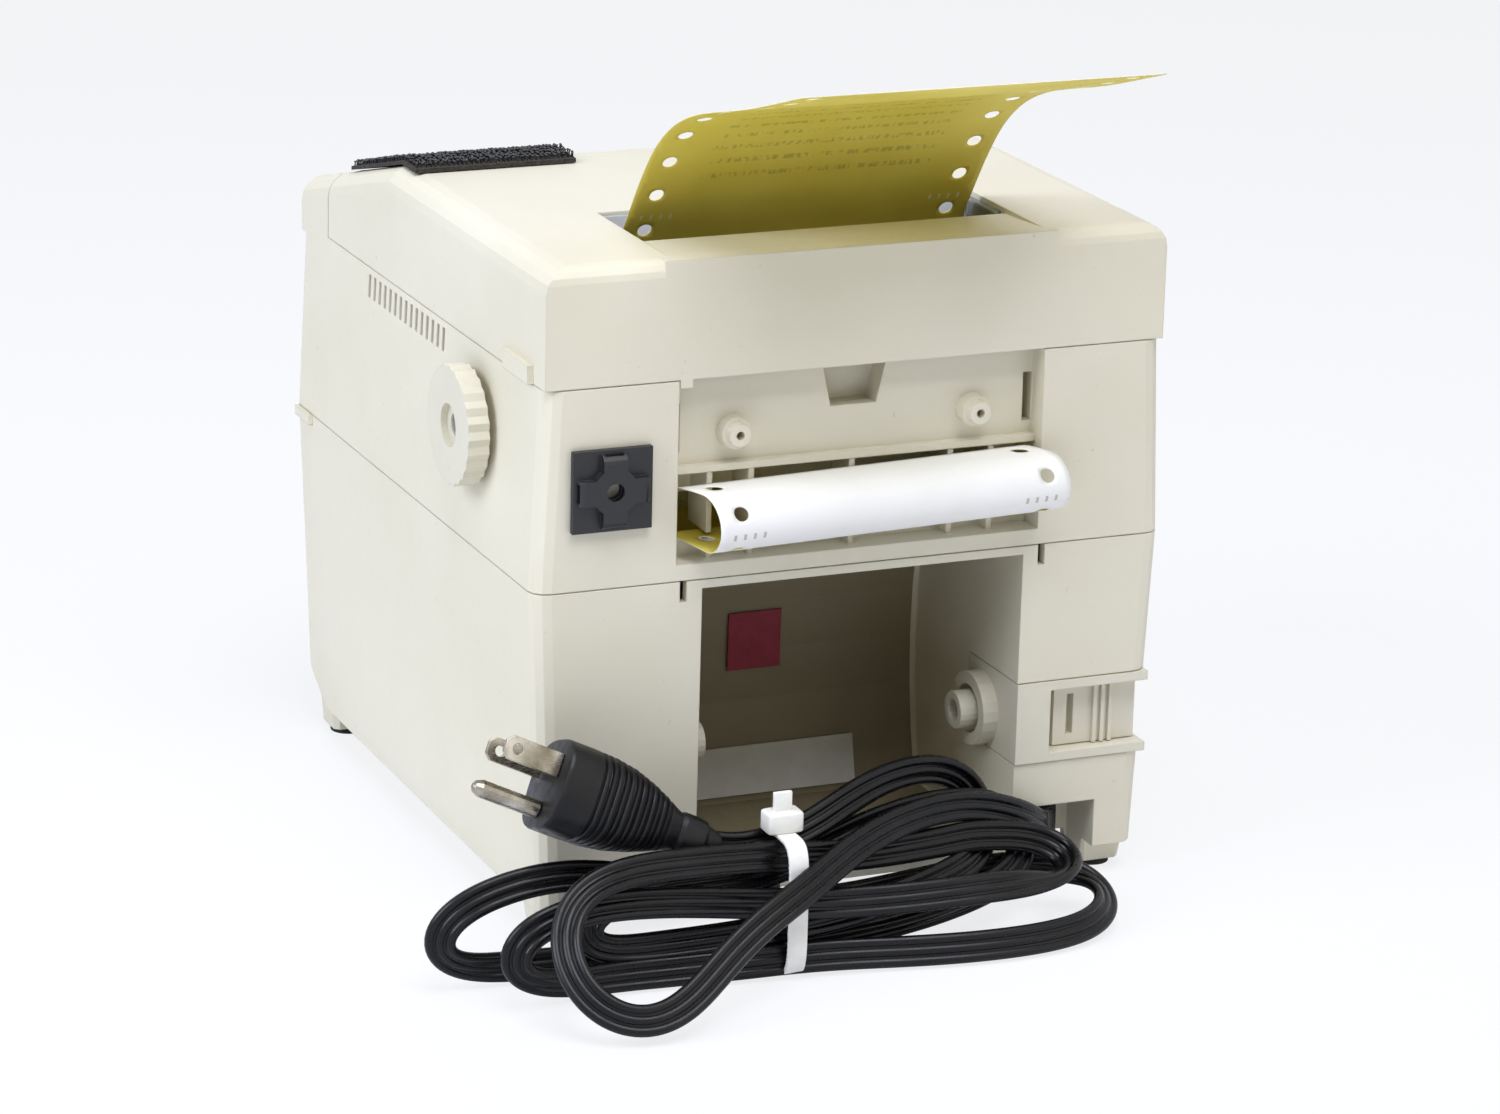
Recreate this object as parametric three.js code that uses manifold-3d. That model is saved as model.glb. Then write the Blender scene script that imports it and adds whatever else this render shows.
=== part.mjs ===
// A small desktop printer with tractor feed, seen mostly from behind in its photograph.
// Millimetres, +Z up. The front faces -Y, and the feed knob is on the +X side.
import * as THREE from "three";
import { mergeVertices } from "three/addons/utils/BufferGeometryUtils.js";
import Module from "manifold-3d";

const wasm = await Module();
wasm.setup();

// The paper sets the width: a four inch form with half inch holes down both edges.
const formWidth = 101.6;
const holePitch = 12.7;
const holeInset = 6.35;
const holeRadius = 2;
const paperThickness = 0.5;
const pinsPerWheel = 8;

// Driving dimensions of the housing. The room beside the form holds a frame, gears and the wall.
const sideRoom = 41.2;
const caseDepth = 202;
const caseTop = 187;
const footHeight = 9;
const lowSeam = 99.5;
const highSeam = 154.5;
const baseTaper = 3.4;
const upperTaper = 2.5;
const cornerRadius = 5;
const wall = 3;
const coverWall = 2.6;
// Clearances: between pieces that touch, and round pieces that move.
const fitGap = 0.3;
const runGap = 0.5;
// How far a cutting body passes the face that it cuts.
const overrun = 6;

const halfForm = formWidth / 2;
const holeLine = halfForm - holeInset;
const halfWidth = halfForm + sideRoom;
const halfDepth = caseDepth / 2;
const topHalfWidth = halfWidth - upperTaper;

// Places measured in from the rear face, from the front face and from a side face.
const fromRear = {
  paper: 32.83,
  bay: 67,
  block: 31,
  spindle: 22,
  throat: 17,
  window: 12,
  tab: [27.4, 8.6],
};
const fromFront = { cover: 24.7, tray: 31, board: 43, stand: 36, rocker: 29, chamfer: 19 };
const fromSide = {
  bay: 47.6,
  pillar: 42,
  block: 2.1,
  latch: [3.5, 28.5],
  slit: [22.5, 24.5],
  ribs: 10.8,
  window: 31.8,
  tray: 8,
  stand: 22,
  board: 12,
  panel: [74, 14],
  buttons: [60, 42],
  lamps: [30, 25, 20],
  tieBase: 9.8,
};
// Places of the mechanism in front of the feed shaft.
const fromShaft = {
  rods: [30, 12],
  carriage: [40, 5],
  head: -9,
  belt: 64,
  cassette: [70, 26],
  ribbonKnobs: 48,
  motor: 28,
  frame: [76, -28],
  tray: -10,
};

// Finishes: colour, roughness and metalness of each kind of material.
const finishes = {
  ivory: [0xe4e0cc, 0.5, 0],
  ivorySmall: [0xdcd8c4, 0.5, 0],
  black: [0x17171a, 0.45, 0],
  blackSoft: [0x1c1c1e, 0.8, 0],
  darkGrey: [0x3c3b3c, 0.5, 0],
  grey: [0x9a9a98, 0.5, 0],
  clear: [0xdfe4e6, 0.1, 0],
  steel: [0xb9babb, 0.35, 1],
  brass: [0xc8a45a, 0.35, 1],
  nylon: [0xf0eee4, 0.5, 0],
  paper: [0xe6df9a, 0.9, 0],
  green: [0x2c5a3a, 0.6, 0],
  red: [0x7a2230, 0.6, 0],
  white: [0xecebe6, 0.7, 0],
  cord: [0x141415, 0.4, 0],
};

const root = new THREE.Group();

// Solids: every shape is a closed three.js geometry, joined or cut where a piece needs it.
function solidOf(geometry) {
  const bare = geometry.clone();
  bare.deleteAttribute("normal");
  bare.deleteAttribute("uv");
  const merged = mergeVertices(bare, 1e-4);
  const vertProperties = new Float32Array(merged.attributes.position.array);
  const triVerts = new Uint32Array(merged.index.array);
  return new wasm.Manifold(new wasm.Mesh({ numProp: 3, vertProperties, triVerts }));
}

function geometryOf(solid) {
  const { vertProperties, triVerts } = solid.getMesh();
  const geometry = new THREE.BufferGeometry();
  geometry.setAttribute("position", new THREE.BufferAttribute(new Float32Array(vertProperties), 3));
  geometry.setIndex(new THREE.BufferAttribute(new Uint32Array(triVerts), 1));
  return geometry;
}

function addPiece(name, solid, finish, home = root) {
  const [color, roughness, metalness] = finishes[finish];
  const material = new THREE.MeshStandardMaterial({ color, roughness, metalness });
  const mesh = new THREE.Mesh(geometryOf(solid), material);
  mesh.name = name;
  home.add(mesh);
  return mesh;
}

// A box between two x, two y and two z values.
function block([x0, x1], [y0, y1], [z0, z1]) {
  const box = new THREE.BoxGeometry(x1 - x0, y1 - y0, z1 - z0);
  box.translate((x0 + x1) / 2, (y0 + y1) / 2, (z0 + z1) / 2);
  return solidOf(box);
}

// An outline drawn in y and z along x, in x and z along y, or in x and y along z.
const axisFrames = {
  x: [[0, 1, 0], [0, 0, 1], [1, 0, 0]],
  y: [[1, 0, 0], [0, 0, 1], [0, -1, 0]],
  z: [[1, 0, 0], [0, 1, 0], [0, 0, 1]],
};

function prism(axis, outline, from, to, holes = []) {
  const shape = new THREE.Shape(outline.map(([a, b]) => new THREE.Vector2(a, b)));
  for (const hole of holes) {
    shape.holes.push(new THREE.Path(hole.map(([a, b]) => new THREE.Vector2(a, b))));
  }
  const geometry = new THREE.ExtrudeGeometry(shape, { depth: to - from, bevelEnabled: false });
  geometry.translate(0, 0, axis === "y" ? -to : from);
  const [across, up, along] = axisFrames[axis].map((v) => new THREE.Vector3(...v));
  geometry.applyMatrix4(new THREE.Matrix4().makeBasis(across, up, along));
  return solidOf(geometry);
}

function circle([a, b], radius, sides, start = 0) {
  return Array.from({ length: sides }, (_, i) => {
    const angle = start + (2 * Math.PI * i) / sides;
    return [a + radius * Math.cos(angle), b + radius * Math.sin(angle)];
  });
}

function rod(axis, centre, radius, from, to, sides = 16) {
  return prism(axis, circle(centre, radius, sides), from, to);
}

// An arc of points, both ends included, angles in degrees.
function arc([a, b], radius, startDegrees, endDegrees, steps) {
  return Array.from({ length: steps + 1 }, (_, i) => {
    const angle = THREE.MathUtils.degToRad(startDegrees + ((endDegrees - startDegrees) * i) / steps);
    return [a + radius * Math.cos(angle), b + radius * Math.sin(angle)];
  });
}

function roundedRectangle([x0, x1], [y0, y1], radius, steps = 3) {
  return [
    ...arc([x1 - radius, y0 + radius], radius, -90, 0, steps),
    ...arc([x1 - radius, y1 - radius], radius, 0, 90, steps),
    ...arc([x0 + radius, y1 - radius], radius, 90, 180, steps),
    ...arc([x0 + radius, y0 + radius], radius, 180, 270, steps),
  ];
}

// A closed body through convex outlines of equally many points, each at its own height.
function loftThrough(levels) {
  const n = levels[0][0].length;
  const points = levels.flatMap(([outline, z]) => outline.map(([x, y]) => [x, y, z]));
  const index = [];
  for (let level = 0; level < levels.length - 1; level++) {
    const low = level * n;
    for (let i = 0; i < n; i++) {
      const j = (i + 1) % n;
      index.push(low + i, low + j, low + n + j, low + i, low + n + j, low + n + i);
    }
  }
  const top = (levels.length - 1) * n;
  for (let i = 1; i < n - 1; i++) {
    index.push(0, i + 1, i, top, top + i, top + i + 1);
  }
  const geometry = new THREE.BufferGeometry();
  geometry.setAttribute("position", new THREE.Float32BufferAttribute(points.flat(), 3));
  geometry.setIndex(index);
  return solidOf(geometry);
}

function loft(lowOutline, low, highOutline, high) {
  return loftThrough([[lowOutline, low], [highOutline, high]]);
}

function joined(...solids) {
  return solids.reduce((whole, solid) => whole.add(solid));
}

function cut(solid, ...tools) {
  return tools.reduce((rest, tool) => rest.subtract(tool), solid);
}

// The slope at the front of the top, which the cover and the front bridge share.
const ridge = { y: -24, slopeShare: 0.256 };
const topAt = (y) => caseTop - ridge.slopeShare * Math.max(0, ridge.y - y);

// Feed shaft, knob and pin wheels turn on one line, and the form passes upright behind them.
const wheelPitchRadius = (holePitch * pinsPerWheel) / (2 * Math.PI);
const paperLine = halfDepth - fromRear.paper;
const shaft = { y: paperLine - wheelPitchRadius, z: 133.5, radius: 3 };
const pinReach = 2.5;
const drumRadius = wheelPitchRadius - paperThickness / 2 - fitGap;

// The way of the paper, walked in y and z from its free lower end to its free upper end.
// Each stretch has a length and the angle that it turns through; right-hand turns are negative.
const curl = { radius: 8.4, flapLength: 10, flatLength: 15.3 };
const throatBend = { radius: 6, turn: 57.9 };
const platenBend = { radius: 10, turn: 90 + throatBend.turn };
const printLength = 20.9;
const wheelWrap = 30;
const leaveLength = 20.7;
const exitBend = { radius: 24.5, turn: 60 };
// How the free sheet bends down row by row, in degrees, and its drift sideways as a share.
const freeTurns = [1, 5, 15, 12, 6, 3, 1, 0, 0, 0];
const driftShare = 0.0575;

const degrees = (d) => THREE.MathUtils.degToRad(d);
const stretches = [
  { length: curl.flapLength, turn: 0 },
  { length: curl.radius * Math.PI, turn: -180 },
  { length: curl.flatLength, turn: 0 },
  { length: throatBend.radius * degrees(throatBend.turn), turn: throatBend.turn },
  { length: platenBend.radius * degrees(platenBend.turn), turn: -platenBend.turn },
  { length: printLength, turn: 0 },
  { length: wheelPitchRadius * degrees(wheelWrap), turn: wheelWrap },
  { length: leaveLength, turn: 0 },
  { length: exitBend.radius * degrees(exitBend.turn), turn: -exitBend.turn },
  ...freeTurns.map((turn) => ({ length: holePitch, turn: -turn })),
];
const lengthUpTo = (count) => stretches.slice(0, count).reduce((sum, s) => sum + s.length, 0);
const exitIndex = stretches.length - freeTurns.length;
const exitLength = lengthUpTo(exitIndex);
const wheelIndex = stretches.findIndex(({ turn }) => turn === wheelWrap);
const wheelContact = lengthUpTo(wheelIndex);
const pathLength = lengthUpTo(stretches.length);

function headingAt(distance) {
  let heading = 0;
  let left = distance;
  for (const stretch of stretches) {
    if (left <= stretch.length) {
      return heading + degrees((stretch.turn * left) / stretch.length);
    }
    heading += degrees(stretch.turn);
    left -= stretch.length;
  }
  return heading;
}

// Places along the way, worked out in fine steps so that the wheel contact falls on the wheel.
const walkStep = 0.25;
const walked = [[0, 0]];
for (let d = walkStep / 2; d < pathLength; d += walkStep) {
  const [y, z] = walked.at(-1);
  walked.push([y + walkStep * Math.cos(headingAt(d)), z + walkStep * Math.sin(headingAt(d))]);
}
const contact = walked[Math.round(wheelContact / walkStep)];
const walkShift = [paperLine - contact[0], shaft.z - contact[1]];

function placeAt(distance) {
  const i = Math.min(walked.length - 2, Math.max(0, Math.floor(distance / walkStep)));
  const share = distance / walkStep - i;
  const y = walked[i][0] + share * (walked[i + 1][0] - walked[i][0]);
  const z = walked[i][1] + share * (walked[i + 1][1] - walked[i][1]);
  return [y + walkShift[0], z + walkShift[1]];
}

// One hole row lies at the exit, and the others half an inch apart on both sides of it.
const firstRow = exitLength - holePitch * Math.floor((exitLength - holePitch / 2) / holePitch);
const rowCount = Math.floor((pathLength - firstRow - holePitch / 2) / holePitch) + 1;
const pinPhase = ((exitLength - wheelContact) % holePitch) / wheelPitchRadius;

function paperForm() {
  const stepsPerRow = 3;
  const holeSides = 2 * stepsPerRow + 4;
  const points = [];
  const faces = [];
  const known = new Map();
  const vertex = (x, s, side) => {
    const key = [x.toFixed(3), s.toFixed(3), side].join();
    if (!known.has(key)) {
      const [y, z] = placeAt(s);
      const heading = headingAt(s);
      const offset = (side * paperThickness) / 2;
      const drift = Math.max(0, s - exitLength) * driftShare;
      known.set(key, points.length / 3);
      points.push(x - drift, y - offset * Math.sin(heading), z + offset * Math.cos(heading));
    }
    return known.get(key);
  };
  // A face is given anticlockwise in x and distance, seen from the side of its number.
  const face = (corners, side) => {
    const [a, b, c] = corners.map(([x, s]) => vertex(x, s, side));
    faces.push(...(side > 0 ? [a, b, c] : [a, c, b]));
  };
  const edge = ([x0, s0], [x1, s1]) => {
    const low = [vertex(x0, s0, -1), vertex(x1, s1, -1)];
    const high = [vertex(x0, s0, 1), vertex(x1, s1, 1)];
    faces.push(low[0], low[1], high[1], low[0], high[1], high[0]);
  };
  const innerEdge = halfForm - 2 * holeInset;
  const start = firstRow - holePitch / 2;
  const along = (row, t) => start + (row + t / stepsPerRow) * holePitch;
  for (let row = 0; row < rowCount; row++) {
    const s = firstRow + row * holePitch;
    for (const end of [-1, 1]) {
      const [near, far] = end < 0 ? [-halfForm, -innerEdge] : [innerEdge, halfForm];
      const middle = end * holeLine;
      const ring = [[near, along(row, 0)], [middle, along(row, 0)]];
      for (let t = 0; t <= stepsPerRow; t++) ring.push([far, along(row, t)]);
      ring.push([middle, along(row, stepsPerRow)]);
      for (let t = stepsPerRow; t > 0; t--) ring.push([near, along(row, t)]);
      const hole = ring.map(([x, d]) => {
        const angle = Math.atan2(d - s, x - middle);
        return [middle + holeRadius * Math.cos(angle), s + holeRadius * Math.sin(angle)];
      });
      for (let i = 0; i < holeSides; i++) {
        const j = (i + 1) % holeSides;
        for (const at of [-1, 1]) {
          face([ring[i], ring[j], hole[j]], at);
          face([ring[i], hole[j], hole[i]], at);
        }
        edge(hole[j], hole[i]);
        if (ring[i][0] === far && ring[j][0] === far && end > 0) edge(ring[i], ring[j]);
        if (ring[i][0] === near && ring[j][0] === near && end < 0) edge(ring[i], ring[j]);
      }
    }
    for (let t = 0; t < stepsPerRow; t++) {
      const low = along(row, t);
      const high = along(row, t + 1);
      for (const at of [-1, 1]) {
        face([[-innerEdge, low], [innerEdge, low], [innerEdge, high]], at);
        face([[-innerEdge, low], [innerEdge, high], [-innerEdge, high]], at);
      }
    }
  }
  const acrossAll = [-halfForm, -holeLine, -innerEdge, innerEdge, holeLine, halfForm];
  const first = along(0, 0);
  const last = along(rowCount - 1, stepsPerRow);
  for (let i = 0; i < acrossAll.length - 1; i++) {
    edge([acrossAll[i], first], [acrossAll[i + 1], first]);
    edge([acrossAll[i + 1], last], [acrossAll[i], last]);
  }
  const geometry = new THREE.BufferGeometry();
  geometry.setAttribute("position", new THREE.Float32BufferAttribute(points, 3));
  geometry.setIndex(faces);
  return solidOf(geometry);
}

// The roll bay at the rear of the base.
const bay = {
  left: halfWidth - fromSide.bay,
  right: fromSide.pillar - halfWidth,
  floor: 11.5,
  roof: 97,
  depthY: halfDepth - fromRear.bay,
  backCurve: 6,
  skin: 2.5,
};
const spindle = {
  y: halfDepth - fromRear.spindle,
  z: 46.3,
  radius: 5.3,
  hollow: 3.2,
  tip: 9,
  body: 17,
};
const spindleBlock = {
  low: 36.1,
  high: 59.4,
  front: halfDepth - fromRear.block,
  side: halfWidth - fromSide.block,
  boreDepth: 22,
};
const notchWidth = 22.9;
const notch = {
  left: bay.right - bay.skin,
  right: bay.right - bay.skin - notchWidth,
  front: halfDepth - fromRear.throat,
  top: 23,
  skin: 2.6,
};
const post = {
  radius: 3,
  standRadius: 4,
  standX: halfWidth - fromSide.stand,
  standY: fromFront.stand - halfDepth,
};
const boardLength = 95;
const boardGap = 14;
const board = {
  x: [fromSide.board - halfWidth, fromSide.board - halfWidth + boardLength],
  y: [fromFront.board - halfDepth, bay.depthY - boardGap],
  low: 20,
  thickness: 1.6,
  postInset: 5,
};
const connectorInset = [12, 13];
const connector = {
  y: [board.y[0] + connectorInset[0], board.y[1] - connectorInset[1]],
  z: [26, 38.5],
  flange: 3,
  plate: 1.5,
  depth: 9,
};
const rocker = {
  y: fromFront.rocker - halfDepth,
  z: 60,
  width: 10,
  height: 13,
  bezel: 3,
  depth: 14,
  tilt: 7,
  dish: 1,
};
const seamGap = fitGap / 2;
const baseFloor = footHeight + wall;
// The feet: a tapered block of the base over a soft pad at each corner.
const foot = {
  inset: [12, 14],
  rightInset: 10.5,
  topHalf: 7.2,
  lowHalf: 6.2,
  corner: 1.5,
  pad: 2,
  padRadius: 5.4,
};
const footPlaces = {
  foot_front_left: [halfWidth - foot.inset[0], foot.inset[1] - halfDepth],
  foot_front_right: [foot.inset[0] - halfWidth, foot.inset[1] - halfDepth],
  foot_rear_left: [halfWidth - foot.inset[0], halfDepth - foot.inset[1]],
  foot_rear_right: [foot.rightInset - halfWidth, halfDepth - foot.inset[1]],
};
// Two slots in the rear edge of the base, beside the bay, and a finger rib on its left edge.
const edgeSlots = { inset: 1.9, width: 2, depth: 5.8 };
const edgeRib = { inset: [4, 17], height: 2.8, proud: 1.2 };

function baseOutline(inset, bottom) {
  const narrow = bottom ? baseTaper : 0;
  const endShare = 0.25;
  const x = halfWidth - narrow - inset;
  const back = halfDepth - inset - narrow * endShare;
  return roundedRectangle([-x, x], [-back, back], cornerRadius);
}

function sideAt(z) {
  return halfWidth - (baseTaper * (lowSeam - z)) / (lowSeam - footHeight);
}

function baseCase() {
  const top = lowSeam - seamGap;
  const outer = loft(baseOutline(0, true), footHeight, baseOutline(0, false), top);
  const inner = loft(baseOutline(wall, true), baseFloor, baseOutline(wall, false), top + overrun);
  const bayBox = block(
    [bay.right - bay.skin, bay.left + bay.skin],
    [bay.depthY - bay.skin, halfDepth - wall / 2],
    [footHeight, top],
  );
  const notchBox = block(
    [notch.right - notch.skin, bay.right],
    [notch.front - notch.skin, halfDepth - wall / 2],
    [footHeight, notch.top + notch.skin],
  );
  const chamfer = { back: fromFront.chamfer - halfDepth, rise: 13 };
  const footBlocks = Object.values(footPlaces).map(([x, y]) => {
    const square = (half) =>
      roundedRectangle([x - half, x + half], [y - half, y + half], foot.corner, 1);
    const blockTop = footHeight + (y < 0 ? chamfer.rise / 2 + wall : wall / 2);
    return loft(square(foot.lowHalf), foot.pad, square(foot.topHalf), blockTop);
  });
  let base = joined(
    outer.subtract(inner),
    bayBox.intersect(outer),
    notchBox.intersect(outer),
  );
  const steps = 6;
  const middle = (bay.floor + bay.roof) / 2;
  const half = (bay.roof - bay.floor) / 2;
  const backWall = Array.from({ length: steps + 1 }, (_, i) => {
    const z = bay.floor + ((bay.roof - bay.floor) * i) / steps;
    return [bay.depthY + bay.backCurve * ((z - middle) / half) ** 2, z];
  });
  const open = halfDepth + overrun;
  const chamferEnd = (chamfer.rise * (fromFront.chamfer + overrun)) / fromFront.chamfer;
  base = cut(
    base,
    prism("x", [[open, bay.floor], [open, bay.roof], ...backWall.reverse()], bay.right, bay.left),
    prism(
      "x",
      [
        [chamfer.back, footHeight - wall],
        [chamfer.back, footHeight],
        [-halfDepth - overrun, footHeight + chamferEnd],
        [-halfDepth - overrun, footHeight - wall],
      ],
      -halfWidth,
      halfWidth,
    ),
  );
  base = cut(
    joined(base, ...footBlocks),
    block([notch.right, notch.left], [notch.front, open], [0, notch.top]),
    prism(
      "x",
      [
        [notch.front + notch.skin, 0],
        [open, 0],
        [open, notch.top],
        [halfDepth - wall, notch.top - notch.skin / 2],
        [notch.front + notch.skin, notch.top - notch.skin],
      ],
      notch.left - fitGap,
      bay.right + fitGap,
    ),
    block(
      [-halfWidth - overrun, bay.right + fitGap],
      [spindleBlock.front - fitGap, open],
      [spindleBlock.low - fitGap, spindleBlock.high + fitGap],
    ),
  );
  // Posts for the board and the stands of the mechanism tray, and the sealed chamfer wall.
  const postFoot = footHeight + wall / 2;
  const posts = boardPosts().map((at) => rod("z", at, post.radius, postFoot, board.low - fitGap));
  const stands = [-1, 1].map((end) =>
    rod("z", [end * post.standX, post.standY], post.standRadius, postFoot, top),
  );
  const chamferWall = prism(
    "x",
    [
      [chamfer.back, footHeight],
      [chamfer.back, footHeight + wall],
      [-halfDepth + wall, footHeight + chamfer.rise + wall],
      [-halfDepth + wall / 2, footHeight + chamfer.rise],
    ],
    -halfWidth + baseTaper + wall / 2,
    halfWidth - baseTaper - wall / 2,
  );
  base = joined(base, ...posts, ...stands, chamferWall);
  const inside = -halfWidth + wall * 2;
  const slotY = [halfDepth - wall - fitGap, open];
  const slotZ = [top - edgeSlots.depth, top + overrun];
  const leftSlot = bay.left + bay.skin + edgeSlots.inset;
  const rightSlot = bay.right - bay.skin - edgeSlots.inset;
  const rib = block(
    [halfWidth - wall / 2, halfWidth + edgeRib.proud],
    edgeRib.inset.map((inset) => inset - halfDepth),
    [top - edgeRib.height, top],
  );
  base = joined(base, rib);
  const holes = [
    block([leftSlot, leftSlot + edgeSlots.width], slotY, slotZ),
    block([rightSlot - edgeSlots.width, rightSlot], slotY, slotZ),
    block([-halfWidth - overrun, inside], connector.y, connector.z),
    block(
      [-halfWidth - overrun, inside],
      [rocker.y - rocker.width, rocker.y + rocker.width],
      [rocker.z - rocker.height, rocker.z + rocker.height],
    ),
  ];
  return cut(base, ...holes);
}

function boardPosts() {
  const [x0, x1] = board.x;
  const [y0, y1] = board.y;
  const inset = board.postInset;
  return [
    [x0 + inset, y0 + inset],
    [x1 - inset, y0 + inset],
    [x0 + inset, y1 - inset],
    [x1 - inset, y1 - inset],
  ];
}

addPiece("base_case", baseCase(), "ivory");

// A soft pad under each foot of the base.
for (const [name, at] of Object.entries(footPlaces)) {
  addPiece(name, rod("z", at, foot.padRadius, 0, foot.pad - fitGap, 20), "blackSoft");
}

// The spindle block in the right pillar: a window for the latch and a collar round the spindle.
const latchWindow = {
  left: fromSide.window - halfWidth,
  front: halfDepth - fromRear.window,
  low: 38.6,
  high: 56.8,
};
const fullTurn = 360;
const collar = { outer: 10.5, inner: 7, length: 4.5, open: [150, 260] };
{
  const bore = spindle.radius + runGap;
  const body = block(
    [-spindleBlock.side, bay.right],
    [spindleBlock.front, halfDepth],
    [spindleBlock.low, spindleBlock.high],
  );
  const [openFrom, openTo] = collar.open;
  const collarOutline = [
    ...arc([spindle.y, spindle.z], collar.outer, openTo, openFrom + fullTurn, 16),
    ...arc([spindle.y, spindle.z], collar.inner, openFrom + fullTurn, openTo, 16),
  ];
  const ring = prism("x", collarOutline, bay.right - wall / 2, bay.right + collar.length);
  const window = block(
    [-spindleBlock.side - overrun, latchWindow.left],
    [latchWindow.front, halfDepth + overrun],
    [latchWindow.low, latchWindow.high],
  );
  const spindleBore = rod(
    "x",
    [spindle.y, spindle.z],
    bore,
    bay.right - spindleBlock.boreDepth,
    bay.right + overrun,
  );
  addPiece("spindle_block", cut(joined(body, ring), window, spindleBore), "ivorySmall");
}

// The latch slides in the window; a slit and three finger ribs mark its face.
const latch = { depth: 7, slitInset: 3, ribWidth: 1.2, ribs: 3 };
{
  const front = latchWindow.front + fitGap;
  const low = latchWindow.low + fitGap;
  const high = latchWindow.high - fitGap;
  const face = front + latch.depth;
  const { slitInset, ribWidth } = latch;
  const inFromRight = (places) => places.map((place) => place - halfWidth);
  const ribs = Array.from({ length: latch.ribs }, (_, i) => {
    const x = fromSide.ribs - halfWidth + i * 2 * ribWidth;
    return block([x, x + ribWidth], [face - ribWidth, face + ribWidth], [low, high]);
  });
  const plate = block(inFromRight(fromSide.latch), [front, face], [low, high]);
  const slit = block(
    inFromRight(fromSide.slit),
    [face - wall, face + overrun],
    [low + slitInset, high - slitInset],
  );
  addPiece("latch_slider", cut(joined(plate, ...ribs), slit), "ivorySmall");
}

// The sprung spindle that holds one end of the roll, its spring, and the fixed stub opposite.
const spindleTip = bay.right + spindle.tip;
const spindleBack = spindleTip - spindle.body;
{
  const at = [spindle.y, spindle.z];
  const body = rod("x", at, spindle.radius, spindleBack, spindleTip, 20);
  const hollow = rod("x", at, spindle.hollow, spindleBack + wall, spindleTip + overrun, 12);
  addPiece("roll_spindle", cut(body, hollow), "ivorySmall");
  const stub = rod("x", at, spindle.radius, bay.left - spindle.tip, bay.left - fitGap, 20);
  const dimple = rod("x", at, spindle.hollow, bay.left - spindle.tip - overrun, bay.left - wall, 12);
  addPiece("fixed_roll_stub", cut(stub, dimple), "ivorySmall");
  // The coil spring behind the spindle.
  const turns = 5;
  const wire = 0.45;
  const coilRadius = spindle.hollow + wire + fitGap / 2;
  const springFrom = bay.right - spindleBlock.boreDepth + wire + fitGap;
  const springTo = spindleBack - wire - fitGap;
  const stepsPerTurn = 10;
  const helix = Array.from({ length: turns * stepsPerTurn + 1 }, (_, i) => {
    const angle = (2 * Math.PI * i) / stepsPerTurn;
    const x = springFrom + ((springTo - springFrom) * i) / (turns * stepsPerTurn);
    const [y, z] = [at[0] + coilRadius * Math.cos(angle), at[1] + coilRadius * Math.sin(angle)];
    return new THREE.Vector3(x, y, z);
  });
  const section = new THREE.Shape(circle([0, 0], wire, 6).map(([a, b]) => new THREE.Vector2(a, b)));
  const spring = new THREE.ExtrudeGeometry(section, {
    steps: turns * stepsPerTurn,
    extrudePath: new THREE.CatmullRomCurve3(helix),
  });
  addPiece("spindle_spring", solidOf(spring), "steel");
}

// The upper case: a ring with a front bridge, a rear recess and the mouth of the paper throat.
const besideForm = { left: 1.2, right: 3.2 };
const recess = {
  left: halfForm + besideForm.left,
  right: -halfForm - besideForm.right,
  depth: 6.7,
  shelf: 104,
  throatRoof: 129.7,
  inner: halfDepth - fromRear.throat,
};
const coverFront = fromFront.cover - halfDepth;
const bridgeGap = 0.8;
const bridgeBack = coverFront - bridgeGap;
const bossShares = [0.675, -0.701];
const boss = { z: 138, base: 4.4, tip: 3.2, tipHeight: 2.4, hole: 1.2, holeDepth: 9 };
// Five fins above the form and five below it, as shares of the form's half width.
const finShares = [0.811, 0.575, 0, -0.571, -0.807];
const fins = { thickness: 1.6, low: 111, shelf: 2, wallLow: 119.5, wall: 1.6, reach: 2.7 };
const lowFins = { back: 10, high: 108.8 };
const vents = { count: 15, from: -39.8, to: 24.3, width: 2, low: 145.9, high: 152.5 };
const coverEdge = { radius: 7, steps: 4 };
const inFromLeft = (places) => places.map((place) => halfWidth - place);
const panel = { x: inFromLeft(fromSide.panel), z: [126, 146], depth: 1.6, inset: 1.4 };
const button = {
  size: [12, 7],
  x: inFromLeft(fromSide.buttons),
  z: 136,
  proud: 1.8,
  travel: 1.5,
  flange: 1.2,
};
const lamp = { x: inFromLeft(fromSide.lamps), z: 136, radius: 1.4, baseMargin: 2.4 };
// Latch slots at both ends of the recess and the stepped channel at its middle.
const recessSlot = { low: 133, high: 146.6, width: 2.6 };
const channelShares = { low: [-0.148, 0.112], high: [-0.203, 0.167] };
const channel = { low: 142, depth: 4, skin: 1.5 };

function upperOutline(inset, top) {
  const x = (top ? topHalfWidth : halfWidth) - inset;
  const y = halfDepth - inset;
  return roundedRectangle([-x, x], [-y, y], cornerRadius);
}

// The outline across the top, with rounded shoulders, drawn in x and z.
function shoulders(inset, low) {
  const x = topHalfWidth - inset;
  const top = caseTop - inset;
  const { radius, steps } = coverEdge;
  return [
    [-x, low],
    [x, low],
    ...arc([x - radius, top - radius], radius, 0, 90, steps),
    ...arc([radius - x, top - radius], radius, 90, 180, steps),
  ];
}

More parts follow.
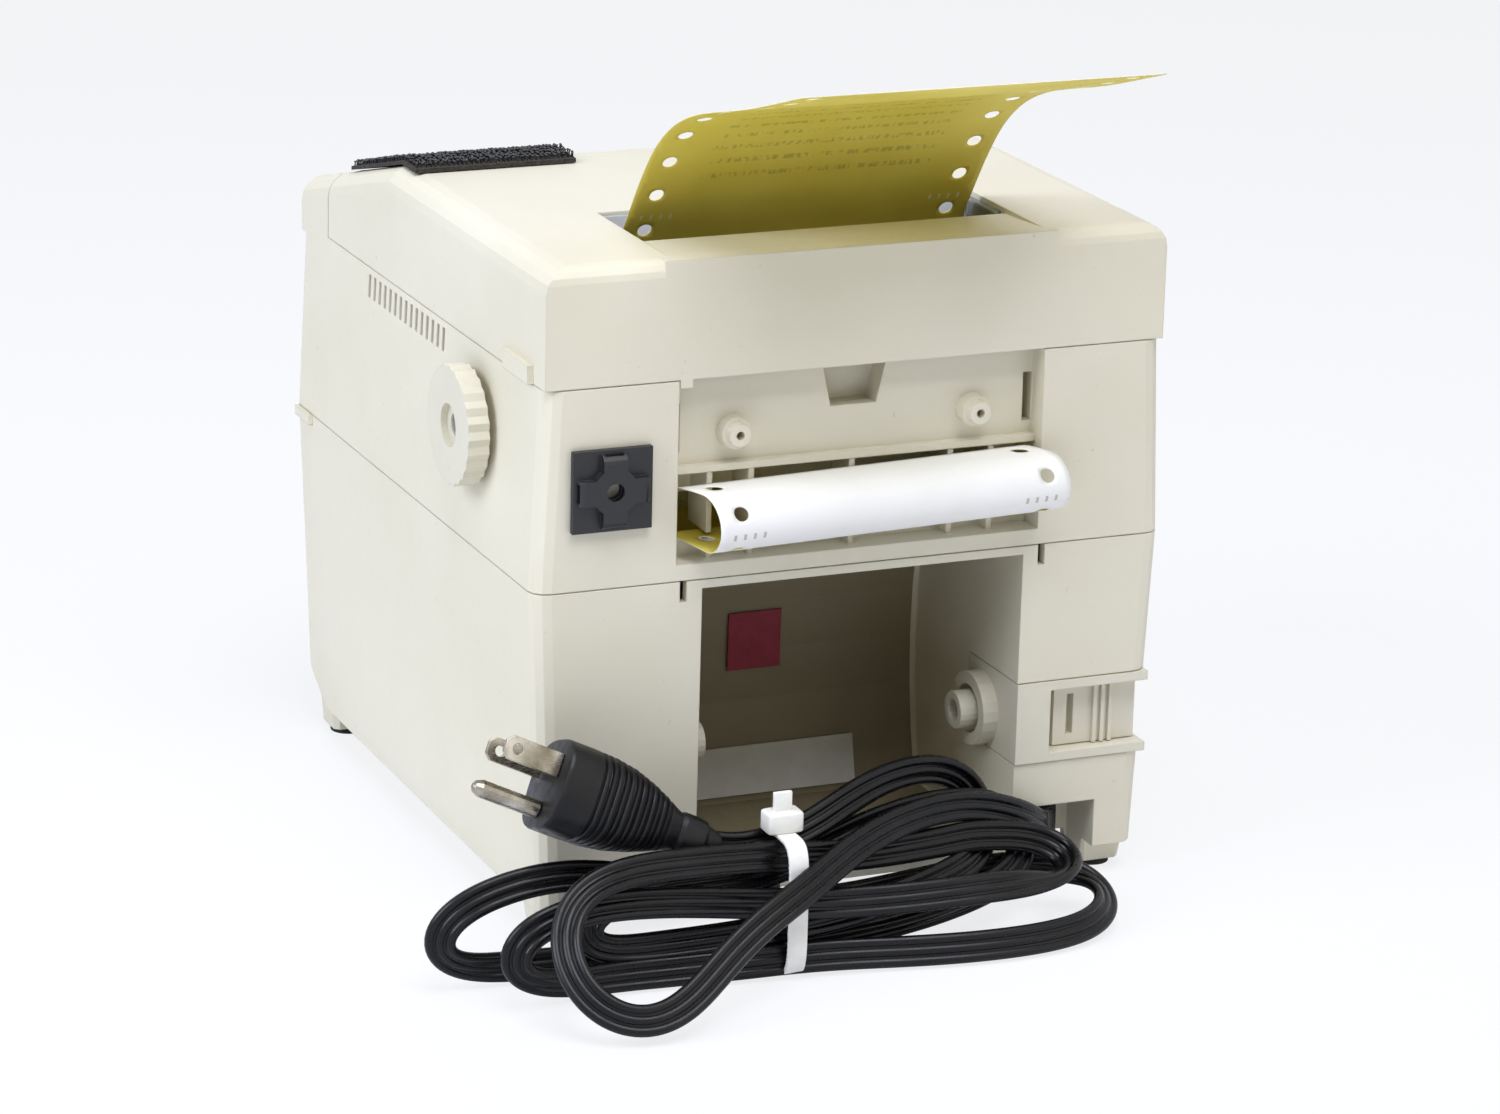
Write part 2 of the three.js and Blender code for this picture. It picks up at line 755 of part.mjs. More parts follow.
// The same along the sides, in y and z: the front slope, the flat top and a round rear edge.
function profile(inset, frontY, backY, low, backRadius, backSteps) {
  const top = caseTop - inset;
  const back = backY - inset;
  const front = frontY + inset;
  return [
    [front, low],
    [back, low],
    ...arc([back - backRadius, top - backRadius], backRadius, 0, 90, backSteps),
    [ridge.y, top],
    [front, topAt(front) - inset],
  ];
}

// The shoulders bend down with the front slope, so the slope is cut after rounding.
function topBody(inset, frontY, backY, low, backRadius) {
  const wide = shoulders(inset, low);
  const along = profile(inset, frontY, backY, low, backRadius, coverEdge.steps);
  const flat = prism("y", wide, ridge.y, backY + overrun);
  const rise = (ridge.y - frontY) * ridge.slopeShare;
  const sloped = prism("y", wide, 0, ridge.y - frontY);
  const skew = new THREE.Matrix4().set(
    1, 0, 0, 0,
    0, 1, 0, frontY,
    0, ridge.slopeShare, 1, -rise,
    0, 0, 0, 1,
  );
  const slopedTop = solidOf(geometryOf(sloped).applyMatrix4(skew));
  const lowPart = prism("y", [
    [inset - topHalfWidth, low],
    [topHalfWidth - inset, low],
    [topHalfWidth - inset, topAt(frontY) - inset - coverEdge.radius],
    [inset - topHalfWidth, topAt(frontY) - inset - coverEdge.radius],
  ], frontY, ridge.y + overrun);
  return joined(flat, slopedTop, lowPart).intersect(
    prism("x", along, -halfWidth - overrun, halfWidth + overrun),
  );
}

function upperCase() {
  const low = lowSeam + seamGap;
  const high = highSeam - seamGap;
  const outer = loft(upperOutline(0, false), low, upperOutline(0, true), high);
  const bridge = cut(
    topBody(0, -halfDepth, halfDepth, highSeam - wall, coverEdge.radius),
    block(
      [-halfWidth - overrun, halfWidth + overrun],
      [bridgeBack, halfDepth + overrun],
      [low, caseTop + overrun],
    ),
  );
  const inner = loft(upperOutline(wall, false), low - overrun, upperOutline(wall, true), high + overrun);
  const bridgeRoom = cut(
    topBody(wall, -halfDepth, halfDepth, highSeam - wall * 2, coverEdge.radius),
    block(
      [-halfWidth - overrun, halfWidth + overrun],
      [bridgeBack - wall, halfDepth + overrun],
      [low, caseTop + overrun],
    ),
  );
  const innerFront = block(
    [-halfWidth - overrun, halfWidth + overrun],
    [-halfDepth - overrun, bridgeBack],
    [highSeam - wall, caseTop + overrun],
  );
  let shell = joined(outer, bridge);
  shell = cut(shell, inner.subtract(innerFront), bridgeRoom);
  const recessFace = halfDepth - recess.depth;
  const cheek = wall;
  const behind = [recess.right - cheek, recess.left + cheek];
  const backPanel = block(behind, [recessFace - wall, recessFace], [recess.throatRoof, high]);
  const ledgeFace = recessFace + fins.reach;
  const throatFloor = block(
    behind,
    [recess.inner, halfDepth - wall / 2],
    [low, recess.shelf],
  );
  const cheeks = [
    [recess.right - cheek, recess.right],
    [recess.left, recess.left + cheek],
  ].map((x) => block(x, [recess.inner, halfDepth - wall / 2], [low, high]));
  shell = cut(
    joined(shell, backPanel, throatFloor, ...cheeks),
    block(
      [recess.right, recess.left],
      [recessFace, halfDepth + overrun],
      [recess.shelf, high + overrun],
    ),
  );
  shell = cut(
    shell,
    block(
      [recess.right, recess.left],
      [recess.inner - wall, halfDepth + overrun],
      [recess.shelf, recess.throatRoof - fins.shelf],
    ),
  );
  const throatRoof = block(
    behind,
    [recess.inner, ledgeFace],
    [recess.throatRoof - fins.shelf, recess.throatRoof],
  );
  const finWall = block(
    behind,
    [recess.inner, recess.inner + fins.wall],
    [fins.wallLow, recess.throatRoof],
  );
  const lowWallFace = halfDepth - lowFins.back + fins.wall;
  const lowWall = block(
    [recess.right - wall / 2, recess.left + wall / 2],
    [halfDepth - lowFins.back, lowWallFace],
    [recess.shelf - wall / 2, lowFins.high],
  );
  const finX = finShares.map((share) => share * halfForm);
  const finSpan = (x) => [x - fins.thickness / 2, x + fins.thickness / 2];
  const finSolids = finX.flatMap((x) => [
    block(finSpan(x), [recess.inner, ledgeFace - fitGap], [fins.low, recess.throatRoof - fitGap]),
    block(finSpan(x), [lowWallFace - fitGap, ledgeFace], [recess.shelf - fitGap, lowFins.high]),
  ]);
  const bossAt = bossShares.map((share) => [share * halfForm, boss.z]);
  const bosses = bossAt.flatMap((at) => [
    rod("y", at, boss.base, recessFace - wall / 2, halfDepth - boss.tipHeight),
    rod("y", at, boss.tip, recessFace, halfDepth),
  ]);
  const bossHoles = bossAt.map((at) =>
    rod("y", at, boss.hole, halfDepth - boss.holeDepth, halfDepth + overrun, 10),
  );
  const channelWidths = [channelShares.low, channelShares.high].map((pair) =>
    pair.map((share) => share * halfForm),
  );
  const channelOutline = (margin) => {
    const [[x0, x1], [x2, x3]] = channelWidths;
    return [
      [x0 - margin, channel.low - margin],
      [x1 + margin, channel.low - margin],
      [x3 + margin, high],
      [x2 - margin, high],
    ];
  };
  const channelBack = recessFace - wall - channel.depth;
  const pocket = prism("y", channelOutline(channel.skin), channelBack - channel.skin, recessFace);
  shell = cut(
    joined(shell, throatRoof, finWall, lowWall, ...finSolids, ...bosses, pocket),
    ...bossHoles,
  );
  const through = [recessFace - wall * 2, recessFace + overrun];
  const slotZ = [recessSlot.low, recessSlot.high];
  shell = cut(
    shell,
    block([recess.right + fitGap, recess.right + fitGap + recessSlot.width], through, slotZ),
    block([recess.left - fitGap - recessSlot.width, recess.left - fitGap], through, slotZ),
    prism("y", channelOutline(0), channelBack, recessFace + overrun),
  );
  const pitch = (vents.to - vents.from - vents.width) / (vents.count - 1);
  const ventCuts = Array.from({ length: vents.count }, (_, i) => {
    const y = vents.from + i * pitch;
    return block(
      [topHalfWidth - wall * 2, halfWidth + overrun],
      [y, y + vents.width],
      [vents.low, vents.high],
    );
  });
  const front = -halfDepth;
  const panelPocket = block(panel.x, [front - overrun, front + panel.depth], panel.z);
  const buttonHoles = button.x.map((x) => buttonBlock(x, -runGap, front - overrun, front + wall * 2));
  const shaftHole = rod(
    "x",
    [shaft.y, shaft.z],
    shaft.radius + runGap * 2,
    topHalfWidth - wall * 2,
    halfWidth + overrun,
  );
  const lampHole = block(
    [lamp.x[0] - lamp.radius * 2, lamp.x.at(-1) + lamp.radius * 2],
    [front - overrun, front + wall * 2],
    [lamp.z - lamp.radius * 2, lamp.z + lamp.radius * 2],
  );
  return cut(shell, ...ventCuts, panelPocket, ...buttonHoles, shaftHole, lampHole);
}

// A block of a button's size round its place, larger all round when the inset is negative.
function buttonBlock(x, inset, fromY, toY) {
  const [width, height] = button.size;
  return block(
    [x - width / 2 + inset, x + width / 2 - inset],
    [fromY, toY],
    [button.z - height / 2 + inset, button.z + height / 2 - inset],
  );
}

addPiece("upper_case", upperCase(), "ivory");

// The operator's panel on the front, with two buttons and three lamps.
{
  const front = -halfDepth;
  const plateY = [front + panel.depth - fitGap - panel.inset, front + panel.depth - fitGap];
  const [x0, x1] = panel.x;
  const [z0, z1] = panel.z;
  const plate = block([x0 + fitGap, x1 - fitGap], plateY, [z0 + fitGap, z1 - fitGap]);
  const openings = button.x.map((x) => buttonBlock(x, -runGap, front - overrun, front + overrun));
  const lampHoles = lamp.x.map((x) =>
    rod("y", [x, lamp.z], lamp.radius + fitGap, front - overrun, front + overrun, 12),
  );
  addPiece("control_panel", cut(plate, ...openings, ...lampHoles), "darkGrey");
  const inner = front + wall + button.travel + fitGap * 2;
  button.x.forEach((x, i) => {
    const cap = buttonBlock(x, 0, front - button.proud, inner);
    const flange = buttonBlock(x, -button.flange, inner, inner + button.flange);
    addPiece(["feed_button", "ready_button"][i], joined(cap, flange), "grey");
  });
  const lampBase = block(
    [lamp.x[0] - lamp.baseMargin, lamp.x.at(-1) + lamp.baseMargin],
    [front + panel.depth + fitGap, front + wall],
    [lamp.z - lamp.baseMargin, lamp.z + lamp.baseMargin],
  );
  const lenses = lamp.x.map((x) =>
    rod("y", [x, lamp.z], lamp.radius, front - fitGap, front + wall - fitGap, 12),
  );
  addPiece("status_lamps", joined(lampBase, ...lenses), "green");
}

// The cover: hinged at the front, with the paper exit and a sharp-edged centre strip.
const cover = {
  exitX: halfForm + besideForm.right,
  exitBefore: 23.17,
  exitBehind: 5.33,
  strip: 2.4,
  backRadius: 4.5,
};
const exitFront = paperLine - cover.exitBefore;
const exitBack = paperLine + cover.exitBehind;
{
  const low = highSeam + seamGap;
  const outer = topBody(0, coverFront, halfDepth, low, cover.backRadius);
  const strip = block(
    [-cover.exitX - cover.strip, cover.exitX + cover.strip],
    [exitBack, halfDepth],
    [low, caseTop],
  );
  const room = topBody(coverWall, coverFront, halfDepth, low - overrun, cover.backRadius);
  const exit = block(
    [-cover.exitX, cover.exitX],
    [exitFront, exitBack],
    [caseTop - overrun, caseTop + overrun],
  );
  // The bar behind the exit falls slightly towards it.
  const fall = 1.4;
  const barCut = prism(
    "x",
    [
      [exitBack - overrun, caseTop + overrun],
      [exitBack - overrun, caseTop - fall],
      [exitBack, caseTop - fall],
      [halfDepth - cover.backRadius, caseTop],
      [halfDepth + overrun, caseTop],
      [halfDepth + overrun, caseTop + overrun],
    ],
    -cover.exitX,
    cover.exitX,
  );
  // A finger tab near the rear of the left side and a short tongue over the recess.
  const tab = { high: 5, proud: 1.8 };
  const fingerTab = block(
    [topHalfWidth - coverWall / 2, topHalfWidth + tab.proud],
    fromRear.tab.map((place) => halfDepth - place),
    [low, low + tab.high],
  );
  const tongue = { width: 3.6, drop: 2.3 };
  const tongueSolid = block(
    [recess.left - fitGap - tongue.width, recess.left - fitGap],
    [halfDepth - coverWall, halfDepth],
    [low - tongue.drop, low + coverWall],
  );
  const hollow = cut(joined(outer, strip), room, exit, barCut);
  addPiece("top_cover", joined(hollow, fingerTab, tongueSolid), "ivory");
}

// The hook fastener pad on the top, bent over the ridge.
{
  const pad = { width: 47.5, before: 8.3, behind: 12, thickness: 3.6 };
  const [y0, y1] = [coverFront + pad.before, ridge.y + pad.behind];
  const lift = fitGap;
  const lowLine = [
    [y0, topAt(y0) + lift],
    [ridge.y, caseTop + lift],
    [y1, caseTop + lift],
  ];
  const highLine = lowLine.map(([y, z]) => [y, z + pad.thickness]).reverse();
  const padEdge = topHalfWidth - coverEdge.radius + wall;
  const strip = prism("x", [...lowLine, ...highLine], padEdge - pad.width, padEdge);
  addPiece("hook_pad", strip, "blackSoft");
}

// The guide plate at the front of the exit and the clear guide at its right end.
{
  const plate = { behind: 1, slope: 4.2, below: 0.8, height: 14.2, thickness: 1.5 };
  const topY = exitFront + plate.behind;
  const lowY = topY + plate.slope;
  const topZ = caseTop - plate.below;
  const lowZ = topZ - plate.height;
  const outline = [
    [lowY, lowZ],
    [lowY + plate.thickness, lowZ],
    [topY + plate.thickness, topZ],
    [topY, topZ],
  ];
  const reach = cover.exitX - fitGap;
  addPiece("exit_plate", prism("x", outline, -reach, reach), "grey");
  const guide = { thickness: 1.5, before: 8, behind: 1.5, height: 15.8, below: 1.2 };
  const guideTop = caseTop - guide.below;
  const guideX = fitGap * 2 - cover.exitX;
  const guideSolid = block(
    [guideX, guideX + guide.thickness],
    [exitFront + guide.before, exitBack - guide.behind],
    [guideTop - guide.height, guideTop],
  );
  addPiece("clear_guide", guideSolid, "clear");
}

// The mechanism: a tray on the base, two side frames, rods, platen and lower paper guide.
const trayLow = lowSeam - seamGap + fitGap;
const tray = {
  x: halfWidth - fromSide.tray,
  y: [fromFront.tray - halfDepth, shaft.y - fromShaft.tray],
  thickness: 1.5,
};
const trayTop = trayLow + tray.thickness;
addPiece("mechanism_tray", block([-tray.x, tray.x], tray.y, [trayLow, trayTop]), "steel");

const beforeShaft = (places) => places.map((place) => shaft.y - place);
const frameGap = 6.2;
const frame = {
  inner: halfForm + frameGap,
  thickness: 1.5,
  y: beforeShaft(fromShaft.frame),
  top: 150,
  cornerCut: 30,
};
const rods = { y: beforeShaft(fromShaft.rods), z: 107, radius: 3 };
const gears = {
  tooth: 1,
  tipShare: 0.6,
  feedTeeth: 30,
  idlerTeeth: 14,
  pinionTeeth: 10,
  width: 4,
  gap: 2.5,
};
const feedRadius = (gears.feedTeeth * gears.tooth) / 2;
const idlerRadius = (gears.idlerTeeth * gears.tooth) / 2;
const pinionRadius = (gears.pinionTeeth * gears.tooth) / 2;
const motor = { y: shaft.y - fromShaft.motor, z: 122, radius: 16, wallGap: 9.5, foot: 12 };
const axle = { radius: 2 };
const gearOuter = -frame.inner - frame.thickness - gears.gap;
const gearInner = gearOuter - gears.width;

// The idler touches both pitch circles: one corner of a triangle of known sides.
const motorDistance = Math.hypot(motor.y - shaft.y, motor.z - shaft.z);
const feedSide = feedRadius + idlerRadius;
const pinionSide = idlerRadius + pinionRadius;
const alongMotor = (feedSide ** 2 - pinionSide ** 2 + motorDistance ** 2) / (2 * motorDistance);
const besideMotor = Math.sqrt(feedSide ** 2 - alongMotor ** 2);
const toMotor = [(motor.y - shaft.y) / motorDistance, (motor.z - shaft.z) / motorDistance];
const idler = [
  shaft.y + toMotor[0] * alongMotor + toMotor[1] * besideMotor,
  shaft.z + toMotor[1] * alongMotor - toMotor[0] * besideMotor,
];

for (const end of [1, -1]) {
  const plate = [
    end > 0 ? frame.inner : -frame.inner - frame.thickness,
    end > 0 ? frame.inner + frame.thickness : -frame.inner,
  ];
  const { cornerCut } = frame;
  const [y0, y1] = frame.y;
  const low = trayTop + fitGap;
  const outline = [
    [y0, low],
    [tray.y[1], low],
    [y1, low + fitGap * 2],
    [y1, frame.top - cornerCut / 2],
    [y1 - cornerCut / 2, frame.top],
    [y0 + cornerCut, frame.top],
    [y0, frame.top - cornerCut],
  ];
  const holes = [
    circle([shaft.y, shaft.z], shaft.radius + fitGap, 16),
    ...rods.y.map((y) => circle([y, rods.z], rods.radius + fitGap, 12)),
  ];
  let side = prism("x", outline, plate[0], plate[1], holes);
  if (end < 0) {
    side = side.add(rod("x", idler, axle.radius, gearInner, plate[1], 12));
  }
  addPiece(end > 0 ? "side_frame_left" : "side_frame_right", side, "steel");
}

["guide_rod_front", "guide_rod_rear"].forEach((name, i) => {
  const reach = frame.inner + frame.thickness + fitGap * 2;
  addPiece(name, rod("x", [rods.y[i], rods.z], rods.radius, -reach, reach, 12), "steel");
});

const platenFace = paperLine + paperThickness / 2 + fitGap;
const platen = { thickness: 5.5, low: 111.4, high: 119.5 };
addPiece(
  "platen_bar",
  block(
    [fitGap - frame.inner, frame.inner - fitGap],
    [platenFace, platenFace + platen.thickness],
    [platen.low, platen.high],
  ),
  "darkGrey",
);

// The carriage on its two rods, and the print head that it holds against the paper.
const carriage = { half: 14, y: beforeShaft(fromShaft.carriage), z: [103, 111.6] };
const head = {
  half: 10,
  back: shaft.y - fromShaft.head,
  z: [103, 114],
  nose: [112.7, 116.4],
  noseHalf: 5,
};
const beltEnd = 11;
const beltLine = {
  y: shaft.y - fromShaft.belt,
  pulley: 5,
  thickness: 1,
  low: 104,
  high: 108,
  x: frame.inner - beltEnd,
};
{
  const [y0, y1] = carriage.y;
  const base = block([-carriage.half, carriage.half], carriage.y, carriage.z);
  const bores = rods.y.map((y) =>
    rod("x", [y, rods.z], rods.radius + fitGap, -carriage.half - overrun, carriage.half + overrun),
  );
  const armReach = beltLine.y + beltLine.pulley + beltLine.thickness + fitGap;
  const arm = block(
    [-carriage.half / 2, carriage.half / 2],
    [armReach, y0 + wall],
    [beltLine.low, beltLine.high],
  );
  addPiece("carriage", cut(joined(base, arm), ...bores), "black");
  const noseTip = paperLine - paperThickness / 2 - fitGap;
  const bodySolid = block([-head.half, head.half], [y1 + fitGap, head.back], head.z);
  const nose = prism(
    "z",
    [
      [-head.noseHalf, head.back - fitGap],
      [head.noseHalf, head.back - fitGap],
      [head.noseHalf / 2, noseTip],
      [-head.noseHalf / 2, noseTip],
    ],
    head.nose[0],
    head.nose[1],
  );
  addPiece("print_head", joined(bodySolid, nose), "darkGrey");
}

// The carriage belt, its motor and the ribbon cassette between the side frames.
{
  const outer = beltLine.pulley + beltLine.thickness;
  const loop = (radius) => [
    ...arc([beltLine.x, beltLine.y], radius, -90, 90, 8),
    ...arc([-beltLine.x, beltLine.y], radius, 90, 270, 8),
  ];
  const belt = prism("z", loop(outer), beltLine.low, beltLine.high, [loop(beltLine.pulley)]);
  addPiece("carriage_belt", belt, "black");
  const pulleyTop = beltLine.high + wall / 2;
  const at = (end) => [end * beltLine.x, beltLine.y];
  const pulley = (end) =>
    rod("z", at(end), beltLine.pulley - fitGap, trayTop + fitGap, pulleyTop, 16);
  addPiece("belt_pulley_left", pulley(1), "brass");
  addPiece("belt_pulley_right", pulley(-1), "brass");
}

const cassette = { y: beforeShaft(fromShaft.cassette), z: [119, 131], corner: 8 };
{
  const knobShare = 0.55;
  const knobY = shaft.y - fromShaft.ribbonKnobs;
  const reach = frame.inner - fitGap;
  const body = prism(
    "z",
    roundedRectangle([-reach, reach], cassette.y, cassette.corner, 4),
    cassette.z[0],
    cassette.z[1],
  );
  const knobTop = cassette.z[1] + wall;
  const knobs = [-1, 1].map((end) =>
    rod("z", [end * reach * knobShare, knobY], cassette.corner, cassette.z[0], knobTop, 12),
  );
  addPiece("ribbon_cassette", joined(body, ...knobs), "black");
}

// The feed motor outside the right frame.
{
  const bodyFace = gearInner - runGap;
  const bodyEnd = motor.wallGap - halfWidth;
  const can = rod("x", [motor.y, motor.z], motor.radius, bodyEnd, bodyFace, 24);
  const stand = block(
    [bodyEnd, bodyFace],
    [motor.y - motor.foot, motor.y + motor.foot],
    [trayTop + fitGap, motor.z],
  );
  addPiece("feed_motor", joined(can, stand), "steel");
}

// A spur gear: straight-sided teeth, narrow enough to run in the gaps of its neighbour.
function gear(centre, teeth, from, to, bore, phase) {
  const pitchRadius = (teeth * gears.tooth) / 2;
  const tip = pitchRadius + gears.tooth * gears.tipShare;
  const rootRadius = pitchRadius - gears.tooth;
  const step = (2 * Math.PI) / teeth;
  const rootShare = 0.27;
  const tipShare = 0.13;
  const outline = [];
  for (let i = 0; i < teeth; i++) {
    const middle = phase + i * step;
    for (const [radius, share] of [
      [rootRadius, -rootShare],
      [tip, -tipShare],
      [tip, tipShare],
      [rootRadius, rootShare],
    ]) {
      const angle = middle + share * step;
      outline.push([centre[0] + radius * Math.cos(angle), centre[1] + radius * Math.sin(angle)]);
    }
  }
  return prism("x", outline, from, to, bore ? [circle(centre, bore, 12)] : []);
}

// The feed shaft with its wheels, gear and knob: they all turn together.
const wheel = { width: 9, hub: 6, pinBase: 1.75, pinTip: 1.1, rim: 3 };
const knob = { radius: 16.5, rim: 6, hubRadius: 6, hubDepth: 2, ribs: 24, rib: 0.7 };
const knobInner = halfWidth + runGap;
const axis = [shaft.y, shaft.z];
const angleTo = ([y0, z0], [y1, z1]) => Math.atan2(z1 - z0, y1 - y0);
{
  const rightEnd = gearInner - runGap / 2 + fitGap / 2;
  const leftEnd = knobInner + knob.rim - knob.hubDepth - fitGap * 2;
  addPiece("feed_shaft", rod("x", axis, shaft.radius, rightEnd, leftEnd, 16), "steel");

  for (const end of [1, -1]) {
    const middle = end * holeLine;
    const half = wheel.width / 2;
    const bore = shaft.radius + fitGap;
    let body = prism("x", circle(axis, drumRadius, 32), middle - half, middle + half, [
      circle(axis, bore, 16),
    ]);
    for (let i = 0; i < pinsPerWheel; i++) {
      const angle = pinPhase + (2 * Math.PI * i) / pinsPerWheel;
      const pin = new THREE.CylinderGeometry(wheel.pinTip, wheel.pinBase, pinReach + wheel.rim, 8);
      pin.translate(0, drumRadius - wheel.rim + (pinReach + wheel.rim) / 2, 0);
      pin.rotateX(angle);
      pin.translate(middle, axis[0], axis[1]);
      body = body.add(solidOf(pin));
    }
    addPiece(end > 0 ? "pin_wheel_left" : "pin_wheel_right", body, "black");
  }

  const feedPhase = angleTo(axis, idler);
  addPiece(
    "feed_gear",
    gear(axis, gears.feedTeeth, gearInner, gearOuter, shaft.radius + fitGap, feedPhase),
    "nylon",
  );
  const idlerPhase = angleTo(idler, axis) + Math.PI / gears.idlerTeeth;
  addPiece(
    "idler_gear",
    gear(idler, gears.idlerTeeth, gearInner, gearOuter, axle.radius + fitGap, idlerPhase),
    "nylon",
  );
  // The pinion's teeth meet the idler's gaps, wherever the idler's teeth happen to stand.
  const toPinion = angleTo(idler, [motor.y, motor.z]);
  const idlerStep = (2 * Math.PI) / gears.idlerTeeth;
  const stepsOff = (toPinion - idlerPhase) / idlerStep;
  const lag = (stepsOff - Math.round(stepsOff)) * idlerStep * (idlerRadius / pinionRadius);
  const pinionPhase = toPinion + Math.PI + Math.PI / gears.pinionTeeth + lag;
  const pinion = gear([motor.y, motor.z], gears.pinionTeeth, gearInner, gearOuter, 0, pinionPhase);
  addPiece("motor_pinion", pinion, "brass");

  // The knob outside the left wall, ribbed round its rim, with a round hollow in its face.
  const ribbed = Array.from({ length: knob.ribs * 2 }, (_, i) => {
    const angle = (Math.PI * i) / knob.ribs;
    const radius = knob.radius - (i % 2) * knob.rib;
    return [axis[0] + radius * Math.cos(angle), axis[1] + radius * Math.sin(angle)];
  });
  const knobOuter = knobInner + knob.rim;
  const disc = prism("x", ribbed, knobInner, knobOuter);
  const hollow = rod("x", axis, knob.hubRadius, knobOuter - knob.hubDepth, knobOuter + overrun, 20);
  const bore = rod("x", axis, shaft.radius + fitGap, knobInner - overrun, knobOuter - knob.hubDepth);
  addPiece("feed_knob", cut(disc, hollow, bore), "ivorySmall");
}

// The lower paper guide: a curved plate under the bend, from the tray to the throat's floor.
{
  const radius = platenBend.radius + paperThickness / 2 + fitGap * 2;
  const thickness = 1.2;
  const centre = [paperLine + platenBend.radius, shaft.z - printLength];
  const outer = radius + thickness;
  const from = 200;
  const to = 290;
  const outline = [...arc(centre, outer, from, to, 8), ...arc(centre, radius, to, from, 8)];
  const reach = halfForm + fitGap;
  addPiece("paper_guide", prism("x", outline, -reach, reach), "steel");
}

addPiece("paper_form", paperForm(), "paper");

// Electrics in the base: board, transformer, data connector and mains switch.
{
  const boardTop = board.low + board.thickness;
  const plate = block(board.x, board.y, [board.low, boardTop]);
  // Parts on the board: shares of its length and depth, then width, depth and height.
  const [boardX, boardY] = [board.x[1] - board.x[0], board.y[1] - board.y[0]];
  const chipLow = boardTop - board.thickness / 2;
  const chipShares = [
    [0.21, 0.36],
    [0.74, 0.13],
    [0.42, 0.1],
  ];
  const chipSizes = [
    [34, 6, 5],
    [16, 12, 20],
    [12, 9, 16],
  ];
  const chips = chipShares.map(([shareX, shareY], i) => {
    const [width, depth, height] = chipSizes[i];
    const x = board.x[0] + shareX * boardX;
    const y = board.y[0] + shareY * boardY;
    return block([x, x + width], [y, y + depth], [chipLow, boardTop + height]);
  });
  addPiece("main_board", joined(plate, ...chips), "green");

  const core = { width: 52, depth: 50, height: 42, coil: 7 };
  const x1 = halfWidth - fromSide.board;
  const x0 = x1 - core.width;
  const [y0, y1] = [board.y[0], board.y[0] + core.depth];
  const coreLow = baseFloor + fitGap;
  const coreTop = coreLow + core.height;
  const lamination = block([x0, x1], [y0 + core.coil, y1 - core.coil], [coreLow, coreTop]);
  const coil = block(
    [x0 + core.coil, x1 - core.coil],
    [y0, y1],
    [coreLow + core.coil, coreTop - core.coil],
  );
  addPiece("transformer", joined(lamination, coil), "steel");

  const [c0, c1] = connector.y;
  const [d0, d1] = connector.z;
  const outside = -sideAt(d1) - fitGap;
  const flange = block(
    [outside - connector.plate, outside],
    [c0 - connector.flange * 2, c1 + connector.flange * 2],
    [d0 - connector.flange / 2, d1 + connector.flange / 2],
  );
  const shellDepth = connector.plate + connector.depth;
  const shell = block(
    [outside - connector.plate, outside + shellDepth],
    [c0 + fitGap, c1 - fitGap],
    [d0 + fitGap, d1 - fitGap],
  );
  const socket = block(
    [outside - connector.plate - overrun, outside + connector.plate],
    [c0 + connector.flange, c1 - connector.flange],
    [d0 + connector.flange, d1 - connector.flange],
  );
  addPiece("data_connector", cut(joined(flange, shell), socket), "steel");
}

{
  const outside = -sideAt(rocker.z + rocker.height) - fitGap;
  const halfY = rocker.width;
  const halfZ = rocker.height;
  const flange = block(
    [outside - rocker.bezel / 2, outside],
    [rocker.y - halfY - rocker.bezel, rocker.y + halfY + rocker.bezel],
    [rocker.z - halfZ - rocker.bezel, rocker.z + halfZ + rocker.bezel],
  );
  const body = block(
    [outside - rocker.bezel / 2, outside + rocker.depth],
    [rocker.y - halfY + fitGap, rocker.y + halfY - fitGap],
    [rocker.z - halfZ + fitGap, rocker.z + halfZ - fitGap],
  );
  const skin = 1.6;
  const well = block(
    [outside - overrun, outside + rocker.depth - skin],
    [rocker.y - halfY + skin, rocker.y + halfY - skin],
    [rocker.z - halfZ + skin, rocker.z + halfZ - skin],
  );
  addPiece("switch_housing", cut(joined(flange, body), well), "black");
  // The rocker is dished at its middle and leans to its off side.
  const half = halfZ - skin - runGap * 2;
  const keyShares = { depth: 0.9, waist: 0.36, end: 0.85 };
  const depth = half * keyShares.depth;
  const waist = half * keyShares.waist;
  const end = half * keyShares.end;
  const face = rocker.bezel / 2 + rocker.dish;
  const outline = [
    [-face, -half],
    [rocker.dish - face, 0],
    [-face, half],
    [waist, end],
    [depth, 0],
    [waist, -end],
  ];
  const key = prism("y", outline, skin + runGap - halfY, halfY - skin - runGap);
  const mesh = addPiece("power_rocker", key, "black");
  mesh.position.set(outside + rocker.dish, rocker.y, rocker.z);
  mesh.rotation.y = degrees(rocker.tilt);
}

